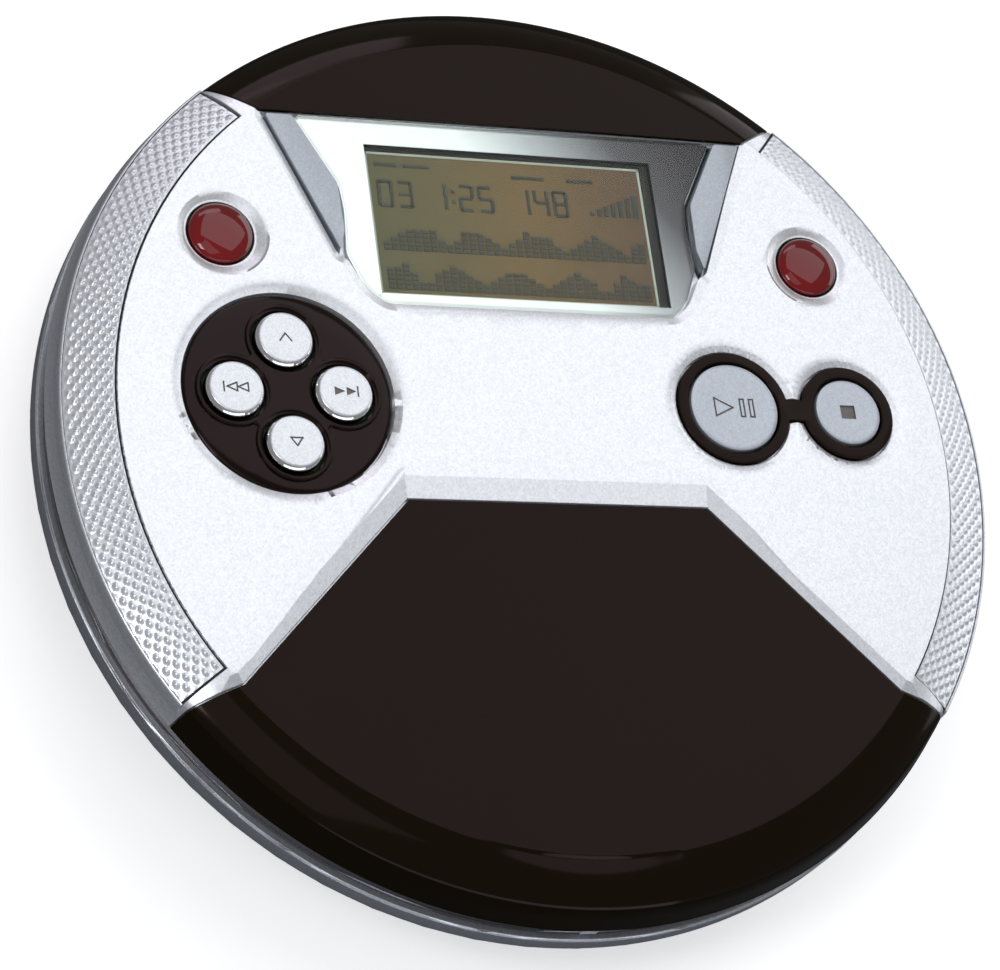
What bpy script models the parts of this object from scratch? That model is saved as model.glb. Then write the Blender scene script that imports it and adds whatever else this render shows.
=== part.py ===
# Portable CD player with a hinged lid: X to the right, Y to the rear, Z up, resting on its feet at z = 0
import math

import bmesh
import bpy
from mathutils import Matrix, Vector

MM = 0.001

# Fits
GAP = 0.3 * MM  # between pieces that rest on each other
PLAY = 0.3 * MM  # round a key in its hole
PIN_PLAY = 0.25 * MM  # round a shaft in its bore
OVERSHOOT = 1.0 * MM  # how far a cut runs past a face
RING_STEPS = 60
HOLE_STEPS = 18
PIN_STEPS = 12
THREAD_STEPS = 8
HALF_TURN = 180.0

# Outer sizes
DISC_R = 60.0 * MM  # the 12 cm disc that the player is made for
DISC_PLAY = 1.3 * MM
WELL_WALL = 1.2 * MM
BELT_W = 3.3 * MM
BELT_RECESS = 1.3 * MM
LID_STEP = 0.1 * MM
WALL = 1.6 * MM
WELL_R = DISC_R + DISC_PLAY
BELT_INNER_R = WELL_R + WELL_WALL
BELT_R = BELT_INNER_R + BELT_W
BODY_R = BELT_R + BELT_RECESS
LID_R = BODY_R - LID_STEP

# Levels of the base and the belt
BASE_BOTTOM_Z = 0.8 * MM
FLOOR_T = 1.6 * MM
BASE_TOP_Z = 15.8 * MM
BELT_H = 3.1 * MM
WELL_DEPTH = 1.2 * MM
DECK_T = 1.0 * MM
FLOOR_TOP_Z = BASE_BOTTOM_Z + FLOOR_T
BELT_BOTTOM_Z = BASE_TOP_Z + GAP
BELT_TOP_Z = BELT_BOTTOM_Z + BELT_H
DECK_TOP_Z = BELT_TOP_Z - WELL_DEPTH
DECK_UNDER_Z = DECK_TOP_Z - DECK_T

# Levels of the lid
LID_BOTTOM_Z = BELT_TOP_Z + GAP
LID_H = 8.5 * MM
LID_TOP_Z = LID_BOTTOM_Z + LID_H
ROOF_T = 3.0 * MM
ROOF_UNDER_Z = LID_TOP_Z - ROOF_T
KEY_BOARD_T = 0.8 * MM
KEY_BOARD_TOP_Z = ROOF_UNDER_Z - GAP
KEY_BOARD_UNDER_Z = KEY_BOARD_TOP_Z - KEY_BOARD_T
LINER_T = 0.9 * MM
LINER_TOP_Z = KEY_BOARD_UNDER_Z - GAP
LINER_UNDER_Z = LINER_TOP_Z - LINER_T

# Outer shape of the base: run of the slope under the rim
RIM_UNDER_Z = 12.7 * MM
RIM_RUN = 3.1 * MM
SLOPE_R = BODY_R - RIM_RUN
SLOPE_Z = 8.4 * MM
HEEL_RUN = 3.5 * MM
HEEL_R = SLOPE_R - HEEL_RUN
HEEL_Z = 3.2 * MM
SOLE_RUN = 2.5 * MM
SOLE_R = HEEL_R - SOLE_RUN
INNER_RISE_SHARE = 0.4

# Outer shape of the lid
LID_DRAFT = 0.6 * MM
WALL_TOP_R = LID_R - LID_DRAFT
WALL_TOP_DROP = 5.5 * MM
SHOULDER_W = 0.8 * MM
SHOULDER_R = WALL_TOP_R - SHOULDER_W
SHOULDER_DROP = 3.4 * MM
RIM_SLOPE_W = 6.4 * MM
CREST_R = SHOULDER_R - RIM_SLOPE_W
DOME_DROP = 0.7 * MM
LID_WALL = 1.5 * MM
ROOF_EDGE_INSET = 1.0 * MM
ROOF_EDGE_R = SHOULDER_R - ROOF_EDGE_INSET
ROOF_EDGE_DROP = 2.4 * MM
ROOF_BEND_INSET = 2.1 * MM
ROOF_BEND_R = ROOF_EDGE_R - ROOF_BEND_INSET
ROOF_BEND_DROP = 1.0 * MM
ROOF_FLAT_OVERRUN = 1.3 * MM
ROOF_FLAT_R = CREST_R + ROOF_FLAT_OVERRUN

# Dark panels of the lid
PANEL_T = 0.6 * MM
PANEL_SEAT = 0.2 * MM
FRONT_SINK = 0.6 * MM
REAR_SINK = 0.1 * MM
FRONT_X_SHARES = [0.3598, 0.777, 1.0811]  # outline corners as shares of the crest radius
FRONT_Y_SHARES = [-0.1807, -0.6149, -0.7331]
BEVEL_TOP_W = 3.4 * MM
BEVEL_SIDE_W = 1.6 * MM
BEVEL_FOOT = 2.0 * MM  # how far the cut reaches over the panel's own seat
REAR_X_SHARES = [0.8446, 0.6064]
REAR_Y_SHARES = [0.9409, 0.7838]

# Grips on the rim
GRIP_INSET = 0.3 * MM
GRIP_INNER_R = CREST_R + GRIP_INSET
GRIP_LIP = 0.2 * MM
GRIP_OUTER_R = WALL_TOP_R - GRIP_LIP
GRIP_T = 0.9 * MM
GRIP_REAR_DEG = 49.3
GRIP_FRONT_DEG = -35.2
GRIP_STEPS = 15

# Display
WINDOW_X_SHARES = [0.5203, 0.4291, 0.4223, 0.4291, 0.3936, 0.3514]
WINDOW_Y_SHARES = [0.777, 0.6064, 0.5405, 0.4307, 0.3446, 0.3074]
WINDOW_HALF_XS = [share * CREST_R for share in WINDOW_X_SHARES]
WINDOW_YS = [share * CREST_R for share in WINDOW_Y_SHARES]
WINDOW_UNDER_Z = 26.6 * MM
WINDOW_SINK = 0.15 * MM
LCD_CORNER_LAP = 0.3 * MM
LCD_FRONT_MARGIN = 1.6 * MM
LCD_REAR_MARGIN = 3.6 * MM
LCD_HALF_X = WINDOW_HALF_XS[-1] + LCD_CORNER_LAP
LCD_FRONT_Y = WINDOW_YS[-1] + LCD_FRONT_MARGIN
LCD_REAR_Y = WINDOW_YS[0] - LCD_REAR_MARGIN

# Long keys beside the window
LONG_KEY_X_SHARES = [0.5946, 0.5287, 0.4383, 0.435, 0.4493]
LONG_KEY_Y_SHARES = [0.7736, 0.7736, 0.5997, 0.4797, 0.4274]
LONG_KEY_XS = [share * CREST_R for share in LONG_KEY_X_SHARES]
LONG_KEY_YS = [share * CREST_R for share in LONG_KEY_Y_SHARES]
LONG_KEY_PROUD = 0.15 * MM

# Round keys
DPAD_X_SHARE = -0.6081
DPAD_Y_SHARE = 0.0709
DPAD_X = DPAD_X_SHARE * CREST_R
DPAD_Y = DPAD_Y_SHARE * CREST_R
DPAD_R = 14.24 * MM
DPAD_TOP_Z = 26.9 * MM
DPAD_T = 0.9 * MM
DPAD_LEDGE = 1.6 * MM
COLLAR_R_SHARE = 0.3652
COLLAR_R = COLLAR_R_SHARE * DPAD_R
COLLAR_H = 0.6 * MM
COLLAR_LOBE_DEG = 115.0
DPAD_KEY_OFFSET_SHARE = 0.5232
DPAD_KEY_R_SHARE = 0.2879
DPAD_KEY_CHAMFER = 0.5 * MM
DPAD_KEY_OFFSET = DPAD_KEY_OFFSET_SHARE * DPAD_R
DPAD_KEY_R = DPAD_KEY_R_SHARE * DPAD_R
DPAD_FACE_R = DPAD_KEY_R - DPAD_KEY_CHAMFER
DPAD_KEY_TOP_Z = 28.2 * MM
DPAD_KEY_FLANGE = 0.65 * MM
KEY_FLANGE_T = 0.4 * MM
KEY_FLOAT = 0.6 * MM
KEY_EDGE = 0.4 * MM
PLAY_X_SHARE = 0.4679
PLAY_Y_SHARE = 0.0743
PLAY_X = PLAY_X_SHARE * CREST_R
PLAY_Y = PLAY_Y_SHARE * CREST_R
PLAY_RING_R = 8.3 * MM
PLAY_KEY_R = 6.55 * MM
STOP_RING_R = 6.9 * MM
BRIDGE_L = 2.1 * MM
STOP_X = PLAY_X + PLAY_RING_R + BRIDGE_L + STOP_RING_R
STOP_Y = PLAY_Y
STOP_KEY_R = 4.96 * MM
BRIDGE_HALF_W = 1.55 * MM
PLAY_BEZEL_TOP_Z = 27.9 * MM
PLAY_BEZEL_T = 1.9 * MM
PLAY_KEY_TOP_Z = 27.8 * MM
PLAY_KEY_FLANGE = 0.5 * MM
POCKET_FLOOR_Z = 25.7 * MM
DOME_KEY_X_SHARE = 0.7264
DOME_KEY_Y_SHARE = 0.4595
DOME_KEY_X = DOME_KEY_X_SHARE * CREST_R
DOME_KEY_Y = DOME_KEY_Y_SHARE * CREST_R
DOME_KEY_R = 4.45 * MM
DOME_KEY_FLANGE = 0.75 * MM
DOME_KEY_EDGE_Z = 27.0 * MM
DOME_KEY_H = 1.2 * MM
DOME_DISH_R = 6.3 * MM
DOME_DISH_DEPTH = 0.6 * MM
DOME_COUNTERBORE_Z = 26.0 * MM

# Hinge
HINGE_INSET = 3.1 * MM
HINGE_Y = BODY_R - HINGE_INSET
HINGE_Z = 18.3 * MM
KNUCKLE_R = 1.8 * MM
HINGE_PIN_R = 0.75 * MM
LID_KNUCKLE_IN_X = 3.0 * MM
LID_KNUCKLE_OUT_X = 9.0 * MM
BASE_KNUCKLE_OUT_X = 15.0 * MM
HINGE_CUT_HALF_X = 17.0 * MM
HINGE_CUT_Y = HINGE_Y - KNUCKLE_R - GAP
RELIEF_H = 1.1 * MM
ARM_FRONT_T = 1.1 * MM
ARM_REAR_T = 1.0 * MM
KNUCKLE_ARM_FRONT_Y = HINGE_Y - ARM_FRONT_T
KNUCKLE_ARM_REAR_Y = HINGE_Y + ARM_REAR_T
LID_ARM_SINK = 0.1 * MM
LID_ARM_TOP_Z = ROOF_UNDER_Z - ROOF_EDGE_DROP - LID_ARM_SINK
BASE_ARM_BOTTOM_Z = 12.0 * MM

# Latch at the front
SLIDER_HALF_X = 3.0 * MM
SLIDER_COVER = 1.2 * MM
SLIDER_T = 0.7 * MM
SLIDER_FRONT_Y = SLIDER_COVER - BELT_R
SLIDER_REAR_Y = SLIDER_FRONT_Y + SLIDER_T
SLIDER_H = 2.0 * MM
SLIDER_BOTTOM_Z = 16.4 * MM
SLIDER_TRAVEL = 5.0 * MM
KNOB_HALF_X = 1.15 * MM
KNOB_PROUD = 0.6 * MM
KNOB_FRONT_Y = -BELT_R - KNOB_PROUD
KNOB_BOTTOM_Z = 16.8 * MM
KNOB_H = 1.5 * MM
FINGER_HALF_X = 1.5 * MM
FINGER_L = 0.7 * MM
FINGER_REAR_Y = SLIDER_REAR_Y + FINGER_L
FINGER_T = 0.5 * MM
HOOK_HALF_X = 2.0 * MM
HOOK_SET = 0.8 * MM
HOOK_T = 0.9 * MM
HOOK_FRONT_Y = SLIDER_REAR_Y + HOOK_SET
HOOK_REAR_Y = HOOK_FRONT_Y + HOOK_T
HOOK_BOTTOM_Z = 17.0 * MM
TOOTH_L = 0.5 * MM
TOOTH_FRONT_Y = HOOK_FRONT_Y - TOOTH_L
TOOTH_H = 0.6 * MM

# Hold switch and lid switch
HOLD_DEG = -49.0
HOLD_HALF_W = 2.4 * MM
HOLD_TRAVEL = 2.0 * MM
HOLD_DEPTH = 1.7 * MM
HOLD_PROUD = 0.5 * MM
HOLD_INNER_R = BELT_R - HOLD_DEPTH
HOLD_OUTER_R = BELT_R + HOLD_PROUD
HOLD_BOTTOM_Z = 16.4 * MM
HOLD_H = 1.9 * MM
LID_PIN_DEG = 230.0
LID_PIN_SET = 1.1 * MM
LID_PIN_RING_R = BELT_INNER_R + LID_PIN_SET
LID_PIN_R = 1.0 * MM
LID_PIN_PROUD = 1.0 * MM
LID_PIN_L = 3.7 * MM
LID_BOSS_R = 1.5 * MM

# Disc well and openings in the deck
HUB_OPENING_R = 16.5 * MM
LENS_SLOT_HALF_W = 5.0 * MM
LENS_SLOT_OVERRUN = 0.6 * MM
LENS_SLOT_END_X = -DISC_R - LENS_SLOT_OVERRUN

# Turntable and its motor
MOTOR_R = 11.0 * MM
MOTOR_H = 6.3 * MM
MOTOR_BOSS_R = 4.4 * MM
MOTOR_BOSS_H = 0.6 * MM
SHAFT_R = 0.9 * MM
SHAFT_BOTTOM_Z = 8.8 * MM
SHAFT_TOP_Z = 20.6 * MM
HUB_BOTTOM_Z = 15.3 * MM
HUB_BOSS_R = 3.5 * MM
TABLE_R = 14.5 * MM
TABLE_T = 1.0 * MM
DISC_SEAT_Z = 18.9 * MM
HUB_R = 7.3 * MM
HUB_TIP_R = 6.2 * MM
HUB_STRAIGHT_H = 1.9 * MM
HUB_TIP_H = 0.5 * MM
CLAW_REACH = 0.45 * MM
CLAW_HALF_W = 1.0 * MM
CLAW_T = 0.45 * MM

# Batteries
CELL_R = 7.25 * MM
CELL_L = 50.5 * MM
NUB_R = 2.7 * MM
NUB_H = 1.0 * MM
CELL_PITCH = 14.8 * MM
CELL_Y_SHARE = 0.4397
CELL_FRONT_Y = CELL_Y_SHARE * BODY_R
CELL_HEADROOM = 0.4 * MM
CELL_Z = DECK_UNDER_Z - CELL_HEADROOM - CELL_R
BAY_END_PLAY = 3.2 * MM
BAY_WALL_X = 2.0 * MM
BAY_WALL_Y = 1.3 * MM
CONTACT_T = 0.4 * MM
CONTACT_HALF_W = 5.5 * MM
CONTACT_DROP = 1.1 * MM
CONTACT_BASE_R = 3.0 * MM
CONTACT_TIP_R = 1.8 * MM
DOOR_SIDE_MARGIN = 1.95 * MM
DOOR_FRONT_MARGIN = 1.05 * MM
DOOR_REAR_MARGIN = 0.35 * MM
DOOR_HALF_X = CELL_L / 2 + DOOR_SIDE_MARGIN
DOOR_FRONT_Y = CELL_FRONT_Y - CELL_R - DOOR_FRONT_MARGIN
DOOR_REAR_Y = CELL_FRONT_Y + CELL_PITCH + CELL_R + DOOR_REAR_MARGIN
DOOR_CHAMFER = 4.5 * MM
DOOR_LEDGE = 0.9 * MM

# Chassis of the disc mechanism
CHASSIS_T = 1.0 * MM
CHASSIS_TOP_Z = 15.6 * MM
CHASSIS_UNDER_Z = CHASSIS_TOP_Z - CHASSIS_T
CHASSIS_IN_X = 20.0 * MM
CHASSIS_IN_CORNER = 7.0 * MM
CHASSIS_SIDE_CHAMFER = 3.5 * MM
CHASSIS_END_SETBACK = 13.0 * MM
CHASSIS_BAY_GAP = 0.65 * MM
CHASSIS_HALF_Y = CELL_FRONT_Y - CELL_R - GAP - BAY_WALL_Y - CHASSIS_BAY_GAP
CHASSIS_OVERRUN = 4.2 * MM
CHASSIS_OUT_CORNER = 6.2 * MM
CHASSIS_OUT_CHAMFER = 2.7 * MM
CHASSIS_OUT_X = -DISC_R - CHASSIS_OVERRUN
CHASSIS_XS = [CHASSIS_IN_X, CHASSIS_IN_X - CHASSIS_IN_CORNER, CHASSIS_OUT_X + CHASSIS_OUT_CORNER]
CHASSIS_XS += [CHASSIS_OUT_X + CHASSIS_OUT_CHAMFER, CHASSIS_OUT_X]
CHASSIS_YS = [CHASSIS_HALF_Y - CHASSIS_IN_CORNER, CHASSIS_HALF_Y, CHASSIS_HALF_Y]
CHASSIS_YS += [CHASSIS_HALF_Y - CHASSIS_SIDE_CHAMFER, CHASSIS_HALF_Y - CHASSIS_END_SETBACK]
CHASSIS_HOLE_R = 5.0 * MM
SLED_BAY_IN_X = -12.0 * MM
SLED_BAY_SHORT = 2.6 * MM
SLED_BAY_OUT_X = SLED_BAY_SHORT - DISC_R
NOSE_BAY_OVERRUN = 3.0 * MM
SLED_BAY_END_X = -DISC_R - NOSE_BAY_OVERRUN
SLED_BAY_EDGE = 6.6 * MM
SLED_BAY_HALF_Y = CHASSIS_HALF_Y - SLED_BAY_EDGE
ROD_R = 0.9 * MM
SLED_PLAY = 0.4 * MM
SLED_HALF_Y = SLED_BAY_HALF_Y - SLED_PLAY
ROD_SET = 1.5 * MM
ROD_Y = SLED_HALF_Y - ROD_SET
NOSE_SET = 3.5 * MM
NOSE_HALF_Y = ROD_Y - NOSE_SET
NOSE_PLAY = 0.6 * MM
NOSE_BAY_HALF_Y = NOSE_HALF_Y + NOSE_PLAY
ROD_Z = 13.2 * MM
ROD_OVERRUN = 0.2 * MM
ROD_OUT_X = -DISC_R - ROD_OVERRUN
ROD_IN_X = -9.3 * MM
TAB_HALF_W = 2.1 * MM
TAB_T = 2.6 * MM
TAB_BOTTOM_Z = 11.7 * MM
BUSH_R = 3.0 * MM
BUSH_H = 2.0 * MM
BUSH_IN_X = 15.5 * MM
BUSH_OUT_SHORT = 13.0 * MM
BUSH_XS = [BUSH_IN_X, BUSH_IN_X, BUSH_OUT_SHORT - DISC_R]
BUSH_IN_SET = 6.0 * MM
BUSH_OUT_SET = 3.2 * MM
BUSH_YS = [BUSH_IN_SET - CHASSIS_HALF_Y, CHASSIS_HALF_Y - BUSH_IN_SET, CHASSIS_HALF_Y - BUSH_OUT_SET]
POST_R = 2.0 * MM

# Laser sled
SLED_IN_X = -12.6 * MM
SLED_OUT_X = -21.0 * MM
NOSE_END_X = -28.5 * MM
SLED_BOTTOM_Z = 11.5 * MM
SLED_TOP_Z = 15.4 * MM
LENS_X = -24.0 * MM
LENS_R = 2.0 * MM
LENS_H = 1.4 * MM
LENS_RISE = 0.5 * MM
HOLDER_HALF_X = 3.5 * MM
HOLDER_HALF_Y = 4.2 * MM
HOLDER_T = 0.7 * MM
HOLDER_Z = 15.8 * MM

# Feed screw and its motor
SCREW_SET = 3.5 * MM
SCREW_Y = SCREW_SET - CHASSIS_HALF_Y
SCREW_Z = 10.0 * MM
SCREW_CORE_R = 1.0 * MM
SCREW_R = 1.5 * MM
SCREW_LEAD = 3.0 * MM
THREAD_IN_X = -17.0 * MM
THREAD_OUT_SHORT = 6.0 * MM
THREAD_OUT_X = THREAD_OUT_SHORT - DISC_R
JOURNAL_R = 0.8 * MM
JOURNAL_OUT_SHORT = 3.2 * MM
JOURNAL_OUT_X = JOURNAL_OUT_SHORT - DISC_R
JOURNAL_IN_X = -12.6 * MM
FEED_MOTOR_R = 3.1 * MM
FEED_MOTOR_IN_X = -6.0 * MM
FEED_MOTOR_OUT_X = -16.0 * MM
FEED_BORE_X = -12.0 * MM
SCREW_TAB_SHORT = 3.0 * MM
SCREW_TAB_T = 2.0 * MM
SCREW_TAB_OUT_X = SCREW_TAB_SHORT - DISC_R
SCREW_TAB_IN_X = SCREW_TAB_OUT_X + SCREW_TAB_T
SCREW_TAB_BOTTOM_Z = 8.2 * MM
NUT_IN_X = -17.5 * MM
NUT_OUT_X = -20.5 * MM
NUT_HALF_W = 2.4 * MM
NUT_TOP_Z = 13.4 * MM
NUT_BOTTOM_Z = 7.6 * MM

# Board and sockets
BOARD_T = 1.0 * MM
BOARD_LIFT = 0.7 * MM
BOARD_INSET = 0.7 * MM
BOARD_R = SOLE_R - BOARD_INSET
BOARD_BAY_GAP = 0.85 * MM
BOARD_REAR_Y = CELL_FRONT_Y - CELL_R - GAP - BAY_WALL_Y - BOARD_BAY_GAP
STANDOFF_R = 2.5 * MM
STANDOFF_X_SHARES = [0.0, -0.7853, 0.7853]
STANDOFF_Y_SHARES = [-0.8726, -0.1745, -0.3839]
STANDOFF_XS = [share * BOARD_R for share in STANDOFF_X_SHARES]
STANDOFF_YS = [share * BOARD_R for share in STANDOFF_Y_SHARES]
SOCKET_DEGS = [-15.0, 1.0, 17.0]
SOCKET_BORES = [1.8 * MM, 1.8 * MM, 2.2 * MM]
SOCKET_Z = 9.0 * MM
SOCKET_SET = 8.6 * MM
SOCKET_L = 12.0 * MM
SOCKET_NOSE_L = 4.8 * MM
SOCKET_BACK_T = 2.5 * MM
SOCKET_BODY_R = BODY_R - SOCKET_SET
SOCKET_INNER_R = SOCKET_BODY_R - SOCKET_L
SOCKET_NOSE_R = 3.2 * MM
SOCKET_NOSE_END = SOCKET_BODY_R + SOCKET_NOSE_L
SOCKET_HALF_W = 3.8 * MM
SOCKET_TOP_Z = 12.4 * MM
SOCKET_BORE_END = SOCKET_INNER_R + SOCKET_BACK_T
DC_PIN_R = 0.8 * MM

# Screws and feet
CASE_SCREW_X_SHARES = [0.6259, 0.5663]
CASE_SCREW_Y_SHARES = [0.5365, -0.5961]
CASE_SCREW_XS = [share * BODY_R for share in CASE_SCREW_X_SHARES]
CASE_SCREW_YS = [share * BODY_R for share in CASE_SCREW_Y_SHARES]
SCREW_HEAD_R = 2.4 * MM
SCREW_HEAD_H = 1.2 * MM
SCREW_SHANK_R = 1.0 * MM
SCREW_SINK = 0.6 * MM
SCREW_TIP_Z = 13.0 * MM
BOSS_R = 3.3 * MM
BOSS_TOP_Z = 8.0 * MM
STUD_R = 2.8 * MM
FOOT_R = 4.5 * MM
FOOT_SEAT = 0.8 * MM
FOOT_INSET = 7.0 * MM
FOOT_RING_R = SOLE_R - FOOT_INSET
FOOT_REAR_DEG = 25.0
FOOT_FRONT_DEG = 305.0


# Building meshes


def lathe(bm, profile, steps, place=None, start=0.0, turn=math.tau):
    # turns a closed outline of (radius, height) points about the Z axis, then places it
    place = place or Matrix.Identity(4)
    full = abs(turn - math.tau) < 1e-6
    count = steps if full else steps + 1
    rings = []
    for radius, height in profile:
        if radius == 0:
            rings.append([bm.verts.new(place @ Vector((0.0, 0.0, height)))] * count)
            continue
        ring = []
        for step in range(count):
            angle = start + turn * step / steps
            spot = Vector((radius * math.cos(angle), radius * math.sin(angle), height))
            ring.append(bm.verts.new(place @ spot))
        rings.append(ring)
    for index, ring in enumerate(rings):
        following = rings[(index + 1) % len(rings)]
        (radius, height), (next_radius, next_height) = profile[index], profile[(index + 1) % len(profile)]
        if full and height == next_height and (radius == 0) != (next_radius == 0):
            bm.faces.new(ring if radius else following)
            continue
        for step in range(steps):
            ahead = (step + 1) % count
            corners = [ring[step], ring[ahead], following[ahead], following[step]]
            kept = [corner for at, corner in enumerate(corners) if corner not in corners[:at]]
            if len(kept) > 2:
                bm.faces.new(kept)
    for vertex in [vertex for vertex in bm.verts if not vertex.link_faces]:
        bm.verts.remove(vertex)
    if not full:
        bm.faces.new([ring[0] for ring in rings])
        bm.faces.new([ring[-1] for ring in rings])


def loft(bm, lower, upper):
    # joins two outlines of 3-D points with the same count into one closed body
    below = [bm.verts.new(spot) for spot in lower]
    above = [bm.verts.new(spot) for spot in upper]
    for at in range(len(below)):
        ahead = (at + 1) % len(below)
        bm.faces.new([below[at], below[ahead], above[ahead], above[at]])
    bm.faces.new(below)
    bm.faces.new(above)


def chain(bm, sections):
    # joins a row of sections with the same count of points into one closed body
    rings = [[bm.verts.new(spot) for spot in section] for section in sections]
    for ring, following in zip(rings, rings[1:]):
        for at in range(len(ring)):
            ahead = (at + 1) % len(ring)
            bm.faces.new([ring[at], ring[ahead], following[ahead], following[at]])
    bm.faces.new(rings[0])
    bm.faces.new(rings[-1])


def prism(bm, outline, bottom, top):
    loft(bm, [(x, y, bottom) for x, y in outline], [(x, y, top) for x, y in outline])


def block(bm, x0, x1, y0, y1, z0, z1, place=None):
    place = place or Matrix.Identity(4)
    corners = [(x0, y0), (x1, y0), (x1, y1), (x0, y1)]
    lower = [place @ Vector((x, y, z0)) for x, y in corners]
    upper = [place @ Vector((x, y, z1)) for x, y in corners]
    loft(bm, lower, upper)


def post(bm, x, y, radius, bottom, top, steps=HOLE_STEPS):
    place = Matrix.Translation((x, y, 0.0))
    lathe(bm, [(0.0, bottom), (radius, bottom), (radius, top), (0.0, top)], steps, place)


def along_x(x, y, z):
    # local Z runs along world +X
    return Matrix.Translation((x, y, z)) @ Matrix.Rotation(math.pi / 2, 4, "Y")


def outward(degrees, height):
    # local X runs outward from the centre line at this angle
    return Matrix.Translation((0.0, 0.0, height)) @ Matrix.Rotation(math.radians(degrees), 4, "Z")


def outward_bore(degrees, height):
    # local Z runs outward from the centre line at this angle
    return outward(degrees, height) @ Matrix.Rotation(math.pi / 2, 4, "Y")


def polar(radius, degrees):
    angle = math.radians(degrees)
    return radius * math.cos(angle), radius * math.sin(angle)


def arc(cx, cy, radius, first_deg, last_deg, steps):
    points = []
    for step in range(steps + 1):
        dx, dy = polar(radius, first_deg + (last_deg - first_deg) * step / steps)
        points.append((cx + dx, cy + dy))
    return points


def mirrored(points):
    # closes an outline from its right half, given from rear to front
    return points + [(-x, y) for x, y in reversed(points)]


def grown(outline, amount):
    # moves every edge of an outline outward by the same amount
    area = sum(a[0] * b[1] - b[0] * a[1] for a, b in zip(outline, outline[1:] + outline[:1]))
    side = math.copysign(amount, area)
    moved = []
    for at, point in enumerate(outline):
        before = Vector(point) - Vector(outline[at - 1])
        after = Vector(outline[(at + 1) % len(outline)]) - Vector(point)
        first = Vector((before.y, -before.x)).normalized()
        second = Vector((after.y, -after.x)).normalized()
        middle = (first + second).normalized()
        spot = Vector(point) + middle * side / max(middle.dot(first), 0.35)
        moved.append((spot.x, spot.y))
    return moved


def material(name, color, metallic=0.0, roughness=0.4, transmission=0.0):
    made = bpy.data.materials.new(name)
    made.use_nodes = True
    shader = made.node_tree.nodes["Principled BSDF"]
    shader.inputs["Base Color"].default_value = (*color, 1.0)
    shader.inputs["Metallic"].default_value = metallic
    shader.inputs["Roughness"].default_value = roughness
    shader.inputs["Transmission Weight"].default_value = transmission
    made.diffuse_color = (*color, 1.0)
    return made


def solid(name, bm, coat, origin=(0.0, 0.0, 0.0)):
    bmesh.ops.recalc_face_normals(bm, faces=bm.faces)
    bmesh.ops.translate(bm, verts=bm.verts, vec=-Vector(origin))
    mesh = bpy.data.meshes.new(name)
    bm.to_mesh(mesh)
    bm.free()
    made = bpy.data.objects.new(name, mesh)
    made.location = origin
    bpy.context.scene.collection.objects.link(made)
    mesh.shade_smooth()
    mesh.set_sharp_from_angle(angle=math.radians(30))
    if coat:
        mesh.materials.append(coat)
    return made


def tool(name, bm):
    made = solid(name, bm, None)
    made.hide_render = True
    made.display_type = "WIRE"
    return made


def combine(target, other, operation):
    step = target.modifiers.new(other.name, "BOOLEAN")
    step.operation = operation
    step.object = other
    step.solver = "EXACT"


def cut(target, name, bm):
    combine(target, tool(name, bm), "DIFFERENCE")


def join(target, name, bm):
    combine(target, tool(name, bm), "UNION")


def keep(target, name, bm):
    combine(target, tool(name, bm), "INTERSECT")


# Shapes that several pieces share


def dome_z(x, y):
    return LID_TOP_Z - DOME_DROP * (x * x + y * y) / (CREST_R * CREST_R)


def lid_skin(sink):
    # outer line of the lid from the centre to its lower edge, lowered by sink on the roof
    radii = [0.0, CREST_R / 3, CREST_R / 3 * 2, CREST_R]
    line = [(radius, dome_z(radius, 0.0) - sink) for radius in radii]
    middle_r = (CREST_R + SHOULDER_R) / 2
    middle_z = LID_TOP_Z - (DOME_DROP + SHOULDER_DROP) / 2
    line.append((middle_r, middle_z + (SHOULDER_R - CREST_R) / 16 - sink / 2))
    line.append((SHOULDER_R, LID_TOP_Z - SHOULDER_DROP))
    line.append((WALL_TOP_R, LID_TOP_Z - WALL_TOP_DROP))
    line.append((LID_R, LID_BOTTOM_Z))
    return line


def inner_skin(sink, depth):
    # line at a depth under the lid skin: straight down on the roof, inward on the wall
    line = lid_skin(sink)
    roof = [(radius, height - depth) for radius, height in line[:4]]
    slope = [(radius - depth / 2, height - depth) for radius, height in line[4:6]]
    wall = [(radius - depth, height) for radius, height in line[6:]]
    return roof + slope + wall


def front_outline(amount):
    half = [(x * CREST_R, y * CREST_R) for x, y in zip(FRONT_X_SHARES, FRONT_Y_SHARES)]
    half.append((half[-1][0], -BODY_R - OVERSHOOT))
    return grown(mirrored(half), amount)


def bevel_sections():
    # three-cornered sections of the slope round the front panel, from its left end to its right end
    half = list(zip(front_outline(GAP), (BEVEL_TOP_W, BEVEL_SIDE_W, 0.0)))
    past = 1 + OVERSHOOT / FRONT_SINK
    sections = []
    for side, stations in ((-1, half[::-1]), (1, half)):
        for (x, y), width in stations:
            height = dome_z(x, y)
            foot = (side * x, y - BEVEL_FOOT, height - FRONT_SINK)
            outer = (side * x, y + width * past, height + OVERSHOOT)
            sections.append([foot, (side * x, y, height - FRONT_SINK), outer, (side * x, y - BEVEL_FOOT, height + OVERSHOOT)])
    return sections


def rear_outline(amount):
    half = [(x * CREST_R, y * CREST_R) for x, y in zip(REAR_X_SHARES, REAR_Y_SHARES)]
    half.insert(0, (half[0][0], BODY_R + OVERSHOOT))
    return grown(mirrored(half), amount)


def window_outline(amount):
    return grown(mirrored(list(zip(WINDOW_HALF_XS, WINDOW_YS))), amount)


def long_key_outline(side, amount):
    return grown([(side * x, y) for x, y in zip(LONG_KEY_XS, LONG_KEY_YS)], amount)


def dpad_spots():
    return [polar(DPAD_KEY_OFFSET, degrees) for degrees in (90.0, 180.0, 0.0, 270.0)]


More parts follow.
